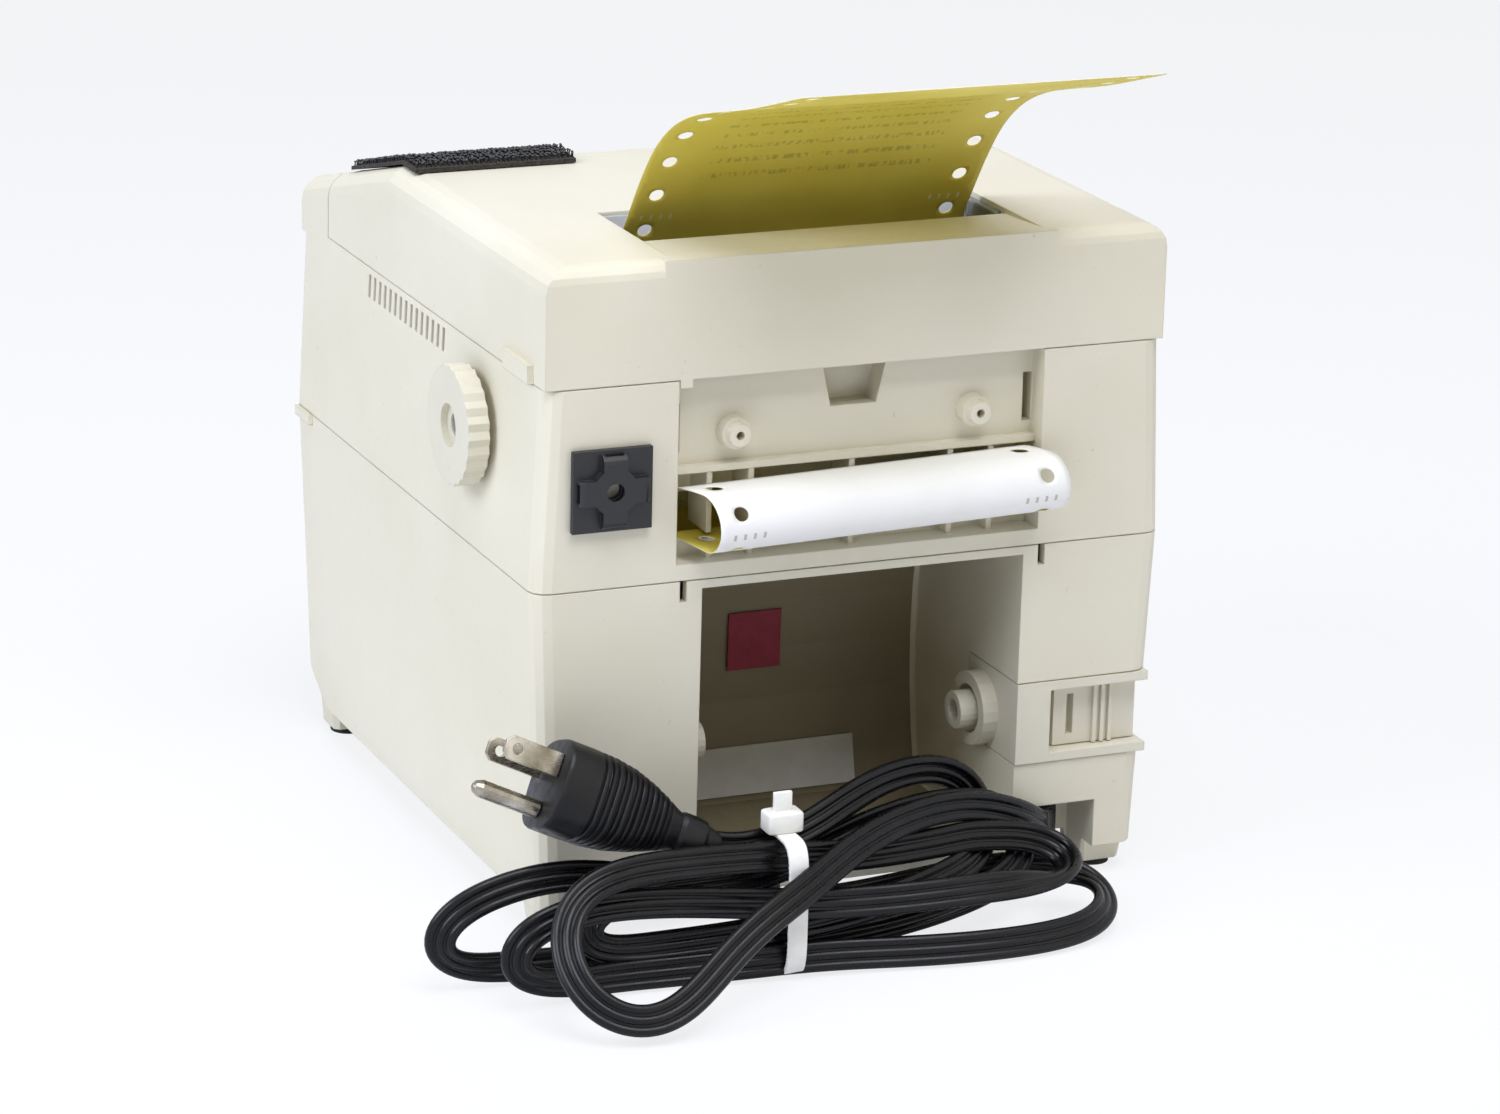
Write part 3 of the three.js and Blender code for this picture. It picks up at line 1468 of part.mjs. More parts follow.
// Stick-on pieces: the cable tie base on the left pillar and two blank labels in the bay.
{
  // A square base whose four arms rise and narrow towards a dished, bored middle.
  const base = { size: 22.2, low: 116, plate: 1.8, arm: 3.4, rise: 2.4, ring: 6.4, hole: 2.5, cord: 2.6 };
  const half = base.size / 2;
  const middle = [halfWidth - fromSide.tieBase - half, base.low + half];
  const [x, z] = middle;
  const y0 = halfDepth + fitGap;
  const face = y0 + base.plate;
  const plate = block([x - half, x + half], [y0, face], [z - half, z + half]);
  const pillow = rod("y", middle, base.ring, face - base.plate / 2, face + base.rise, 20);
  const armSteps = 4;
  const armLine = arc([half - base.arm, 0], base.rise, 0, 90, armSteps);
  // The arms are drawn lying flat with their rise upwards, then stood against the plate.
  const armOutline = [[0, 0], ...armLine, [0, base.rise]];
  const arms = [0, 1, 2, 3].map((quarter) => {
    const turn = new THREE.Matrix4().makeRotationZ((quarter * Math.PI) / 2);
    return solidOf(geometryOf(prism("y", armOutline, -base.arm, base.arm)).applyMatrix4(turn));
  });
  const lay = new THREE.Matrix4().makeRotationX(-Math.PI / 2);
  lay.setPosition(x, face, z);
  const armCross = solidOf(geometryOf(joined(...arms)).applyMatrix4(lay));
  const tunnels = [
    block([x - half, x + half], [face, face + base.rise / 2], [z - base.cord, z + base.cord]),
    block([x - base.cord, x + base.cord], [face, face + base.rise / 2], [z - half, z + half]),
  ];
  const hole = rod("y", middle, base.hole, y0 - overrun, face + overrun, 16);
  addPiece("tie_mount", cut(joined(plate, pillow, armCross), ...tunnels, hole), "black");
}

// The labels lie on the bay's back wall: places in from its left side, and heights.
const label = { thickness: 0.4, gap: 0.6, steps: 4 };
const redLabel = { inset: [51.8, 35.8], z: [49, 66] };
const whiteLabel = { inset: [73.9, 19.4], z: [13.5, 27] };
{
  const middle = (bay.floor + bay.roof) / 2;
  const half = (bay.roof - bay.floor) / 2;
  const backAt = (z) => bay.depthY + bay.backCurve * ((z - middle) / half) ** 2;
  const lean = ([z0, z1]) => {
    const line = Array.from({ length: label.steps + 1 }, (_, i) => {
      const z = z0 + ((z1 - z0) * i) / label.steps;
      return [backAt(z) + label.gap, z];
    });
    return [...line, ...line.map(([y, z]) => [y + label.thickness, z]).reverse()];
  };
  const stuck = ({ inset, z }) => prism("x", lean(z), bay.left - inset[0], bay.left - inset[1]);
  addPiece("red_label", stuck(redLabel), "red");
  addPiece("white_label", stuck(whiteLabel), "white");
}

// The mains cord: where it leaves the case, its bundle, its tie and its plug.
const cordWidth = 8.4;
const floorGap = 0.3;
const gland = { depth: 3.7, width: 13, inset: 11, z: [10.2, 21] };
const glandX = notch.left - gland.inset;
addPiece(
  "cord_gland",
  block(
    [glandX - gland.width / 2, glandX + gland.width / 2],
    [notch.front + fitGap, notch.front + fitGap + gland.depth],
    gland.z,
  ),
  "black",
);

// What hangs on the gland moves with its mouth: all places of the loose cord start there.
const looseCord = new THREE.Group();
looseCord.position.set(glandX, notch.front + fitGap + gland.depth, 0);
root.add(looseCord);

function cordTube(route, steps) {
  const ring = circle([0, 0], cordWidth / 2, 8).map(([a, b]) => new THREE.Vector2(a, b));
  const curve = new THREE.CatmullRomCurve3(route.map((p) => new THREE.Vector3(...p)));
  const settings = { steps, extrudePath: curve };
  return solidOf(new THREE.ExtrudeGeometry(new THREE.Shape(ring), settings));
}

// The lead runs straight out of the gland and down into the bundle.
const leadRoute = [
  [0, 0.3, 14.5],
  [0, 3, 14.4],
  [0, 10, 11],
  [0, 16, 8],
  [0, 21, 7],
  [0, 23.7, 7],
];
addPiece("cord_lead", cordTube(leadRoute, 8), "cord", looseCord);

// The hank: the outer shape of the bundle, with two lobes and a waist in the tie.
const hankPlan = [
  [-4.5, 24],
  [7.5, 24],
  [43.5, 20],
  [73.5, 24],
  [91.5, 36],
  [105.5, 36],
  [123.5, 20],
  [163.5, 18],
  [185.5, 24],
  [195.5, 38],
  [194.5, 60],
  [185.5, 84],
  [167.5, 100],
  [147.5, 100],
  [125.5, 82],
  [105.5, 60],
  [91.5, 60],
  [63.5, 84],
  [27.5, 88],
  [3.5, 72],
  [-4.5, 54],
];
const tieRise = 2;
const hankSide = [
  [-4.5, floorGap],
  [87.5, floorGap],
  [91.5, tieRise],
  [103.5, tieRise],
  [107.5, floorGap],
  [195.5, floorGap],
  [195.5, 12],
  [189.5, 22],
  [175.5, 33],
  [159.5, 34],
  [140.5, 32],
  [125.5, 30],
  [111.5, 24],
  [105, 24],
  [105, 38],
  [89.5, 38],
  [73.5, 44],
  [41.5, 44],
  [11.5, 30],
  [-4.5, 14],
];
const hankReach = 400;
const hank = prism("z", hankPlan, 0, hankReach).intersect(prism("y", hankSide, 0, hankReach));
addPiece("cord_hank", hank, "cord", looseCord);

// The nylon tie: a band round the waist, its head and the end that stands out of the head.
const tie = { x: [94.5, 99.5], y: [36, 60], top: 38, thickness: 1.2, head: [41, 48], headRise: 5 };
{
  const [y0, y1] = tie.y;
  const outside = fitGap + tie.thickness;
  const band = cut(
    block(tie.x, [y0 - outside, y1 + outside], [tieRise - outside, tie.top + outside]),
    block(
      [tie.x[0] - overrun, tie.x[1] + overrun],
      [y0 - fitGap, y1 + fitGap],
      [tieRise - fitGap, tie.top + fitGap],
    ),
  );
  const headTop = tie.top + outside + tie.headRise;
  const head = block(
    [tie.x[0] - tie.thickness, tie.x[1] + tie.thickness],
    tie.head,
    [tie.top + fitGap, headTop],
  );
  const end = block(
    tie.x,
    [tie.head[0] + tie.headRise / 2, tie.head[0] + tie.headRise / 2 + tie.thickness],
    [tie.top + outside, headTop + tie.headRise],
  );
  addPiece("cable_tie", joined(band, head, end), "nylon", looseCord);
}

// The plug lies on the bundle and points up to the left. Its own axes are the line between
// the two blades, the line from the ground pin to the blades, and the way the prongs point.
const plugEnd = new THREE.Vector3(114.4, 40, 34.5);
const plugAlong = new THREE.Vector3(0.9, -0.12, 0.42).normalize();
const plugUp = new THREE.Vector3().crossVectors(plugAlong, new THREE.Vector3(-0.05, 0.94, 0.34));
plugUp.normalize();
const plugAcross = new THREE.Vector3().crossVectors(plugUp, plugAlong);
const plugTurn = new THREE.Quaternion().setFromRotationMatrix(
  new THREE.Matrix4().makeBasis(plugAcross, plugUp, plugAlong),
);
const tailRoute = [
  [114.1, 40.04, 34.4],
  [111.5, 40.4, 33.2],
  [108, 40.6, 32.1],
  [105.4, 40.6, 32],
];
addPiece("cord_tail", cordTube(tailRoute, 4), "cord", looseCord);

const plug = {
  length: 50,
  blade: { width: 6.35, thickness: 1.5, length: 16, spread: 6.35, up: 4.5, hole: 1.5, tip: 3.5 },
  pin: { radius: 2.4, length: 19, up: -7.4, taper: 1.5 },
};
// Half widths across and up at places along the plug, from the cord end to the face.
const plugStations = [
  [4.4, 4.4, 0],
  [5.4, 5.4, 4],
  [5.8, 5.8, 13],
  [7.5, 7, 15],
  [9.5, 9, 21],
  [12.6, 11.6, 30],
  [13.5, 12.5, 42],
  [13.5, 12.5, plug.length],
];
{
  const place = (mesh) => {
    mesh.position.copy(plugEnd);
    mesh.quaternion.copy(plugTurn);
  };
  const sides = 20;
  // Rounded squares: a power under one pushes a circle's points out to the corners.
  const roundness = 0.75;
  const blunt = (v) => Math.sign(v) * Math.abs(v) ** roundness;
  const levels = plugStations.map(([across, up, at]) => [
    circle([0, 0], 1, sides).map(([a, b]) => [across * blunt(a), up * blunt(b)]),
    at,
  ]);
  place(addPiece("plug_body", loftThrough(levels), "black", looseCord));
  const { blade, pin } = plug;
  const from = plug.length + fitGap;
  for (const end of [1, -1]) {
    const half = blade.width / 2;
    const tip = from + blade.length;
    const outline = [
      [blade.up - half, from],
      [blade.up + half, from],
      [blade.up + half, tip - half / 2],
      [blade.up + half / 2, tip],
      [blade.up - half / 2, tip],
      [blade.up - half, tip - half / 2],
    ];
    const middle = end * blade.spread;
    const hole = circle([blade.up, tip - blade.tip], blade.hole, 12);
    const sideThickness = blade.thickness / 2;
    const flat = prism("x", outline, middle - sideThickness, middle + sideThickness, [hole]);
    const name = end > 0 ? "plug_blade_one" : "plug_blade_two";
    place(addPiece(name, flat, "brass", looseCord));
  }
  const pinEnd = from + pin.length;
  const ring = (radius) => circle([0, pin.up], radius, 14);
  const groundPin = loftThrough([
    [ring(pin.radius), from],
    [ring(pin.radius), pinEnd - pin.radius],
    [ring(pin.radius / pin.taper), pinEnd - pin.radius / 4],
    [ring(pin.radius / 4), pinEnd],
  ]);
  place(addPiece("plug_ground_pin", groundPin, "brass", looseCord));
}

// The origin is under the middle of the object's box, which leaves the loose cord out.
const measured = new THREE.Box3();
for (const mesh of root.children.filter((child) => child !== looseCord)) {
  mesh.updateMatrixWorld(true);
  measured.expandByObject(mesh, true);
}
root.position.set(
  -(measured.min.x + measured.max.x) / 2,
  -(measured.min.y + measured.max.y) / 2,
  -measured.min.z,
);

export default root;
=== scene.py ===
import bmesh
import bpy
import numpy as np
from mathutils import Matrix, Vector


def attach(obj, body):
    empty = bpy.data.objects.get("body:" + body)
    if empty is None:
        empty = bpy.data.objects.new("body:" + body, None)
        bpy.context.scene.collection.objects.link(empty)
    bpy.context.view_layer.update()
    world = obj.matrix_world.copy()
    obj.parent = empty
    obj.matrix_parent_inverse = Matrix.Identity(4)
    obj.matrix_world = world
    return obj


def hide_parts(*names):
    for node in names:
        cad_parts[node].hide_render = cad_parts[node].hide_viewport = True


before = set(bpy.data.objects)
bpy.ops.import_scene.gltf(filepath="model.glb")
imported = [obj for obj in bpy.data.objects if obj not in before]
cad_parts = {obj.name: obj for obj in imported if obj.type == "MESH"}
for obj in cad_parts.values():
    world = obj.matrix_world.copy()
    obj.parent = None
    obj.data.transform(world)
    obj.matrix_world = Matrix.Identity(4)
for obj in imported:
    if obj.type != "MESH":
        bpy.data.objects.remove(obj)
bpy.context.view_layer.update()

# The camera stands behind the printer and to its left, a little above it, where the photographer
# stood. Its place was solved from the edges of the case; it is turned 1.4 degrees about its view.
camera_place = Vector((0.5352766, 1.2539148, 0.5022))
view_ahead = Vector((-0.37711, -0.87754, -0.29619)).normalized()
level_right = Vector((-0.9187, 0.3949, 0.0)).normalized()
level_up = level_right.cross(view_ahead)
roll = np.radians(1.373)
right = level_right * np.cos(roll) + level_up * np.sin(roll)
up = level_up * np.cos(roll) - level_right * np.sin(roll)
camera = bpy.data.objects.new("camera", bpy.data.cameras.new("camera"))
camera.data.sensor_width = 36.0
camera.data.lens = 121.47
camera.data.clip_start = 0.05
camera_turn = Matrix((right, up, -view_ahead)).transposed().to_4x4()
camera.matrix_world = Matrix.Translation(camera_place) @ camera_turn
bpy.context.scene.collection.objects.link(camera)
bpy.context.scene.camera = camera


# The mains cord is a black three-core flat cord: three round ribs side by side, joined by thin
# webs. It leaves the notch, is wound into a flattened bundle and ends in its plug. Its route and
# all sizes below are in millimetres from the middle of the housing, unless they say metres.
housing_middle = np.array([-0.0022234, -0.0258849, 0.0])  # metres
rib_radius = 1.4
rib_places = np.array([-2.8, 0.0, 2.8])
web_half = 0.8
half_width = 4.2
strand_room = (8.7, 3.5)  # across the cord's width and through its thickness
table_gap = 0.3
broad_side = np.array([0.38, 0.88, 0.3])  # where the wound cord's broad side faces
upright_until, broad_from = 100, 120  # in y, between which the cord turns
twist_ease = 0.12
route_step, line_step = 3.0, 1.2
cord_route = np.array(
    [
        # The lead, over the tie and round the front loop on the left.
        (-63.5, 88.3, 14.5), (-63.5, 96, 14.5), (-61, 104, 16.5), (-53, 111, 22),
        (-41, 115.5, 29.5), (-26, 120, 34.5), (-9, 126.5, 36), (8, 134, 34.5),
        (22, 142, 31), (34, 150, 27.5), (45, 154.5, 24), (54, 158, 20),
        (63, 163, 15), (71.5, 168.5, 9.5), (80, 172, 5.6), (90, 172.5, 5),
        (98.5, 168, 8.5), (103.5, 161, 15.5), (104, 153, 24), (99, 146, 31.5),
        (89, 142, 35.5), (77, 140, 36), (62, 138.5, 35), (47, 137, 34),
        # Out to the right and back.
        (33.5, 136, 32.5), (20, 135, 30), (4, 131, 28), (-14, 126, 26.5),
        (-33, 121, 25), (-47, 117.5, 22.5), (-56, 119.5, 19.5), (-58, 127.5, 16),
        (-51, 135.5, 15.5), (-38, 140.5, 17.5), (-22, 143, 19), (-2, 142, 18.5),
        (16, 140, 18.5),
        # The second loop on the left.
        (33.5, 139.5, 20), (50, 139, 22.5), (68, 138.5, 25), (86, 139, 26.5),
        (101, 140, 25.5), (111, 140.5, 21.5), (115.5, 141, 15.5), (112, 140, 9),
        (103, 138, 5.5), (91, 136.5, 4.8), (76, 136, 4.8), (62, 137.5, 4.8),
        (48, 139.5, 5),
        # Along the table to the far right and back.
        (33.5, 141, 5.5), (18, 142, 5), (0, 146, 4.8), (-20, 149, 4.8),
        (-40, 149, 4.8), (-55, 145, 5), (-64.5, 137, 7), (-66, 127, 9.5),
        (-61, 119, 11.5), (-47, 116, 13), (-27, 120, 14.5), (-5, 125.5, 15),
        (15, 130, 15.5),
        # The widest loop on the left.
        (33.5, 131, 16.5), (50, 129, 21), (70, 126.5, 27), (91, 125, 31),
        (108, 124, 29), (121.5, 123.5, 24.5), (129.5, 123, 17), (127.5, 122, 9.5),
        (118, 121, 5.5), (106, 120.5, 4.8), (91, 121.5, 4.8), (74, 124.5, 4.8),
        (54, 128.5, 5),
        # Inside on the right, under the lead and up behind it.
        (33.5, 131.5, 6), (16, 132, 6.5), (-4, 131.5, 8), (-22, 129.5, 10.5),
        (-37, 125.5, 13), (-47, 118.5, 16.5), (-49.5, 111.5, 21), (-44, 108.5, 27),
        (-33, 109.5, 31), (-19, 113.5, 33), (-4, 119, 33), (13, 124.5, 31),
        # Inside on the left.
        (33.5, 128.5, 25), (48, 130, 25.5), (64, 132, 27), (79, 133, 26.5),
        (90, 134, 23), (94, 134.5, 17), (89, 134.5, 11.5), (77, 134.5, 10.5),
        (62, 135, 11), (47, 136, 11.5),
        # Out to the right, behind the lead into the high arc, and through the tie to the plug.
        (33.5, 136.5, 12.5), (18, 137, 14), (0, 135.5, 16.5), (-15, 131.5, 18.5),
        (-27, 125, 20), (-35.5, 116.5, 22), (-39, 109, 27), (-37, 105.5, 33.5),
        (-29.5, 106, 39.5), (-18, 110.5, 43), (-3, 116.5, 43.5), (10, 122.5, 41),
        (22, 127.5, 36.3), (33.5, 129.5, 33.6), (42, 129.3, 33.2), (50.6, 128.04, 34.4),
    ]
)


def placed(points):
    """Points in millimetres from the housing's middle, in metres in the shared frame."""
    return np.asarray(points, float) * 0.001 + housing_middle


def line_through(points, steps=12):
    """Between two route points a cubic whose ends head from the point before to the point after."""
    first, last = 2 * points[0] - points[1], 2 * points[-1] - points[-2]
    route = np.vstack([first, points, last])
    t = (np.arange(steps) / steps)[None, :, None]
    a, b, c, d = (route[k : len(route) - 3 + k, None] for k in range(4))
    cubic = 2 * b + (c - a) * t + (2 * a - 5 * b + 4 * c - d) * t**2
    cubic = cubic + (3 * b - a - 3 * c + d) * t**3
    return np.vstack([cubic.reshape(-1, 3) / 2, points[-1]])


def even(line, step):
    """The same line with points one step apart."""
    along = np.concatenate([[0], np.cumsum(np.linalg.norm(np.diff(line, axis=0), axis=1))])
    at = np.linspace(0, along[-1], int(along[-1] / step) + 1)
    return np.stack([np.interp(at, along, line[:, k]) for k in range(3)], axis=1)


def relaxed(line, reach):
    """Each point is the mean of its neighbours up to reach steps away, with both ends held."""
    padded = np.vstack([line[:1]] * reach + [line] + [line[-1:]] * reach)
    window = np.ones(2 * reach + 1) / (2 * reach + 1)
    mean = np.stack([np.convolve(padded[:, k], window, "valid") for k in range(3)], axis=1)
    from_end = np.minimum(np.arange(len(line)), np.arange(len(line))[::-1])
    hold = np.clip(from_end / reach, 0, 1)[:, None]
    return line * (1 - hold) + mean * hold


def skin(name, grid, round_columns=False, round_rows=False, caps=False):
    """A mesh through a grid of points in metres: each point joins the next in its row and the one
    in the next row. A round grid closes on itself, and caps shut the first and the last row."""
    rows, columns = grid.shape[:2]
    i, j = np.meshgrid(
        np.arange(rows if round_rows else rows - 1),
        np.arange(columns if round_columns else columns - 1),
        indexing="ij",
    )
    i2, j2 = (i + 1) % rows, (j + 1) % columns
    quads = np.stack([i * columns + j, i * columns + j2, i2 * columns + j2, i2 * columns + j], -1)
    faces = quads.reshape(-1, 4).tolist()
    if caps:
        faces += [list(range(columns))[::-1], list(range((rows - 1) * columns, rows * columns))]
    return mesh_piece(name, grid.reshape(-1, 3), faces)


sharp_from = np.radians(35)


def mesh_piece(name, points, faces):
    """A piece from points and faces. Its faces are turned outwards, and edges that turn by more
    than 35 degrees stay sharp."""
    mesh = bpy.data.meshes.new(name)
    mesh.from_pydata(np.asarray(points).tolist(), [], faces)
    work = bmesh.new()
    work.from_mesh(mesh)
    bmesh.ops.remove_doubles(work, verts=work.verts, dist=1e-6)
    bmesh.ops.recalc_face_normals(work, faces=work.faces)
    for edge in work.edges:
        edge.smooth = len(edge.link_faces) == 2 and edge.calc_face_angle() < sharp_from
    work.to_mesh(mesh)
    work.free()
    mesh.polygons.foreach_set("use_smooth", np.ones(len(mesh.polygons), bool))
    piece = bpy.data.objects.new(name, mesh)
    bpy.context.scene.collection.objects.link(piece)
    return piece


def unit(vectors):
    return vectors / np.linalg.norm(vectors, axis=-1, keepdims=True)


def sides(line):
    """The directions of the cord's width and thickness at each point. The width is carried along
    the line without twisting, and eases from upright at the case to the turn that shows the broad
    side behind the printer."""
    ahead = unit(np.gradient(line, axis=0))
    share = np.clip((line[:, 1:2] - upright_until) / (broad_from - upright_until), 0, 1)
    pull = np.cross(ahead, broad_side) * share
    pull += (np.array([0, 0, 1.0]) - ahead * ahead[:, 2:]) * (1 - share)
    now = np.array([0, 0, 1.0])
    wide = [now]
    for way, aim in zip(ahead[1:], pull[1:]):
        now = now - way * (way @ now)
        now = now + twist_ease * np.sign(aim @ now) * aim
        now = now / np.sqrt(now @ now)
        wide.append(now)
    wide = np.array(wide)
    wide = unit(wide - ahead * (wide * ahead).sum(1, keepdims=True))
    return wide, np.cross(ahead, wide)


def settled(line, rounds=110):
    """The line after its strands have pushed each other apart. Two points are too near where their
    gap, measured in strand rooms, is under one. In each round such points part by a limited step,
    the line smooths itself, drifts back towards its route, and is lifted off the table. Tight
    crossings stay a little pressed into each other."""
    same_strand, turn_every, longest_step, smoothing, pull_back = 9, 8, 0.8, 0.35, 0.03
    route, ends = line, np.r_[0:3, len(line) - 3 : len(line)]
    line, steps = line.copy(), np.arange(len(line))
    apart = abs(steps[:, None] - steps) > same_strand
    for count in range(rounds):
        if count % turn_every == 0:
            wide, thick = sides(line)
        gap = line[None] - line[:, None]
        square = (gap**2).sum(-1)
        own, other = (np.einsum(way, gap, wide) for way in ("ijk,ik->ij", "ijk,jk->ij"))
        on_width = (own**2 + other**2) / 2
        through = np.maximum(square - on_width, 0)
        near = np.sqrt(on_width / strand_room[0] ** 2 + through / strand_room[1] ** 2)
        push = np.where(apart & (near < 1), (1 - near) / 2, 0)
        push = push / np.sqrt(np.maximum(square, 1e-6))
        move = -(push[..., None] * gap).sum(1)
        size = np.maximum(np.linalg.norm(move, axis=1, keepdims=True), 1e-6)
        move *= np.minimum(1, longest_step / size)
        move[1:-1] += smoothing * ((line[:-2] + line[2:]) / 2 - line[1:-1])
        line += move + pull_back * (route - line)
        standing = half_width * abs(wide[:, 2]) + rib_radius * abs(thick[:, 2])
        line[:, 2] = np.maximum(line[:, 2], standing + table_gap)
        line[ends] = route[ends]
    return line


def flat_cord(line):
    """Rings along the line. Each ring goes round the outline of three ribs: circle arcs that stop
    where the webs between them begin."""
    wide, thick = sides(line)
    meet = np.arcsin(web_half / rib_radius)
    arcs = (
        (rib_places[2], meet - np.pi, np.pi - meet, 17),
        (rib_places[1], meet, np.pi - meet, 8),
        (rib_places[0], meet, 2 * np.pi - meet, 17),
        (rib_places[1], np.pi + meet, 2 * np.pi - meet, 8),
    )
    turns = [np.linspace(start, end, count) for _, start, end, count in arcs]
    across = np.concatenate([arc[0] + rib_radius * np.cos(turn) for arc, turn in zip(arcs, turns)])
    deep = np.concatenate([rib_radius * np.sin(turn) for turn in turns])
    return line[:, None] + wide[:, None] * across[:, None] + thick[:, None] * deep[:, None]


def ink(code):
    """A colour written as six hex digits, in the linear light that the shaders work in."""
    share = np.array([int(code[k : k + 2], 16) for k in (0, 2, 4)]) / 255
    linear = np.where(share <= 0.04045, share / 12.92, ((share + 0.055) / 1.055) ** 2.4)
    return (*linear.tolist(), 1.0)


class Finish:
    """A procedural material: a shader with nodes that read the piece's own Object coordinates."""

    def __init__(self, name, roughness, metal=0.0):
        self.material = bpy.data.materials.new(name)
        self.material.use_nodes = True
        self.nodes, self.links = self.material.node_tree.nodes, self.material.node_tree.links
        self.shader = self.nodes["Principled BSDF"]
        self.shader.inputs["Roughness"].default_value = roughness
        self.shader.inputs["Metallic"].default_value = metal
        self.place = self.nodes.new("ShaderNodeTexCoord").outputs["Object"]

    def node(self, kind, **settings):
        made = self.nodes.new("ShaderNode" + kind)
        for key, value in settings.items():
            setattr(made, key, value)
        return made

    def join(self, source, node, socket):
        self.links.new(source, node.inputs[socket])
        return node

    def noise(self, scale, detail=3.0, stretch=None):
        """Cloudy noise whose blots are about 1/scale of a metre across."""
        made = self.node("TexNoise")
        made.inputs["Scale"].default_value = scale
        made.inputs["Detail"].default_value = detail
        place = self.place
        if stretch:
            turn = self.node("Mapping")
            turn.inputs["Scale"].default_value = stretch
            place = self.join(place, turn, "Vector").outputs["Vector"]
        return self.join(place, made, "Vector").outputs["Fac"]

    def ramp(self, source, *stops):
        """Colours by the value of source, each stop a place from 0 to 1 and a hex colour."""
        made = self.node("ValToRGB")
        band = made.color_ramp
        while len(band.elements) < len(stops):
            band.elements.new(0.5)
        for element, (at, code) in zip(band.elements, stops):
            element.position = at
            element.color = ink(code)
        return self.join(source, made, "Fac").outputs["Color"]

    def span(self, source, low, high, to_low, to_high):
        made = self.node("MapRange")
        for socket, value in zip((1, 2, 3, 4), (low, high, to_low, to_high)):
            made.inputs[socket].default_value = value
        return self.join(source, made, 0).outputs[0]

    def calc(self, operation, *values):
        """Arithmetic on numbers and sockets, such as MULTIPLY, ABSOLUTE or PINGPONG."""
        made = self.node("Math", operation=operation)
        for socket, value in enumerate(values):
            if isinstance(value, (int, float)):
                made.inputs[socket].default_value = value
            else:
                self.links.new(value, made.inputs[socket])
        return made.outputs[0]

    def blend(self, share, first, second, mode="MIX"):
        made = self.node("Mix", data_type="RGBA", blend_type=mode)
        for socket, value in ((0, share), (6, first), (7, second)):
            if isinstance(value, (float, tuple)):
                made.inputs[socket].default_value = value
            else:
                self.links.new(value, made.inputs[socket])
        return made.outputs[2]

    def colour(self, source):
        self.join(source, self.shader, "Base Color")
        return self

    def rough(self, source, low, high):
        self.join(self.span(source, 0.3, 0.7, low, high), self.shader, "Roughness")
        return self

    def relief(self, source, strength, depth, edge=0.0):
        """Bumps of that depth in metres, over edges rounded to the radius edge."""
        bump = self.node("Bump")
        bump.inputs["Strength"].default_value = strength
        bump.inputs["Distance"].default_value = depth
        if edge:
            rounding = self.node("Bevel", samples=6)
            rounding.inputs["Radius"].default_value = edge
            self.join(rounding.outputs["Normal"], bump, "Normal")
        self.join(source, bump, "Height")
        self.join(bump.outputs["Normal"], self.shader, "Normal")
        return self

    def on(self, *pieces):
        for piece in pieces:
            piece.data.materials.clear()
            piece.data.materials.append(self.material)
        return self.material


cord_line = settled(even(line_through(cord_route), route_step))
cord_line = even(relaxed(even(cord_line, line_step), 3), line_step)
cord = skin("mains_cord", placed(flat_cord(cord_line)), round_columns=True, caps=True)
jacket = Finish("cord_jacket", 0.38)
jacket.shader.inputs["Specular IOR Level"].default_value = 0.27
jacket.colour(jacket.ramp(jacket.noise(70, 5), (0.35, "050506"), (0.6, "0a0a0b"), (0.8, "131315")))
jacket.rough(jacket.noise(260, 4), 0.22, 0.38)
jacket.relief(jacket.noise(900, 2), 0.15, 0.00005)
jacket.on(cord)

# The strain relief is the soft tapered sleeve that the cord leaves the case through. Its square
# foot sits in the notch, and it is moulded onto the cord in the cord's own black.
foot_place = (-63.5, 0, 15.6)
foot_end = 88.0
sleeve_squareness = 0.35


def sleeve():
    """Rounded rectangles along +y, each a place and two half sizes: the square foot, a step, and a
    ringed taper to just over the cord, whose line their middles follow."""
    stations = np.array(
        [
            (84.3, 6.4, 5.2), (84.5, 6.5, 5.4), (87.7, 6.5, 5.4), (88.0, 6.3, 5.2),
            (88.0, 3.6, 5.0), (92.0, 3.1, 5.0), (92.4, 2.7, 4.9), (94.6, 2.9, 4.9),
            (95.0, 2.5, 4.8), (97.4, 2.7, 4.8), (97.8, 2.3, 4.7), (100.2, 2.5, 4.7),
            (100.6, 2.1, 4.6), (106.5, 1.9, 4.5), (107.0, 1.6, 4.3),
        ]
    )
    lead = cord_line[:40, 1]
    along = np.interp(stations[:, 0], lead, np.arange(len(lead)))
    whole = along.astype(int)
    middle = cord_line[whole] + (along - whole)[:, None] * (cord_line[whole + 1] - cord_line[whole])
    middle[stations[:, 0] <= foot_end] = foot_place
    middle[:, 1] = stations[:, 0]
    angle = np.linspace(0, 2 * np.pi, 32, endpoint=False)
    across, tall = (
        np.sign(f(angle)) * abs(f(angle)) ** sleeve_squareness for f in (np.cos, np.sin)
    )
    half_across = np.outer(stations[:, 1], across)
    half_tall = np.outer(stations[:, 2], tall)
    return middle[:, None] + np.stack([half_across, np.zeros_like(half_across), half_tall], -1)


relief = skin("strain_relief", placed(sleeve()), round_columns=True, caps=True)
jacket.on(relief)
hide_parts("cord_gland")
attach(relief, "case")

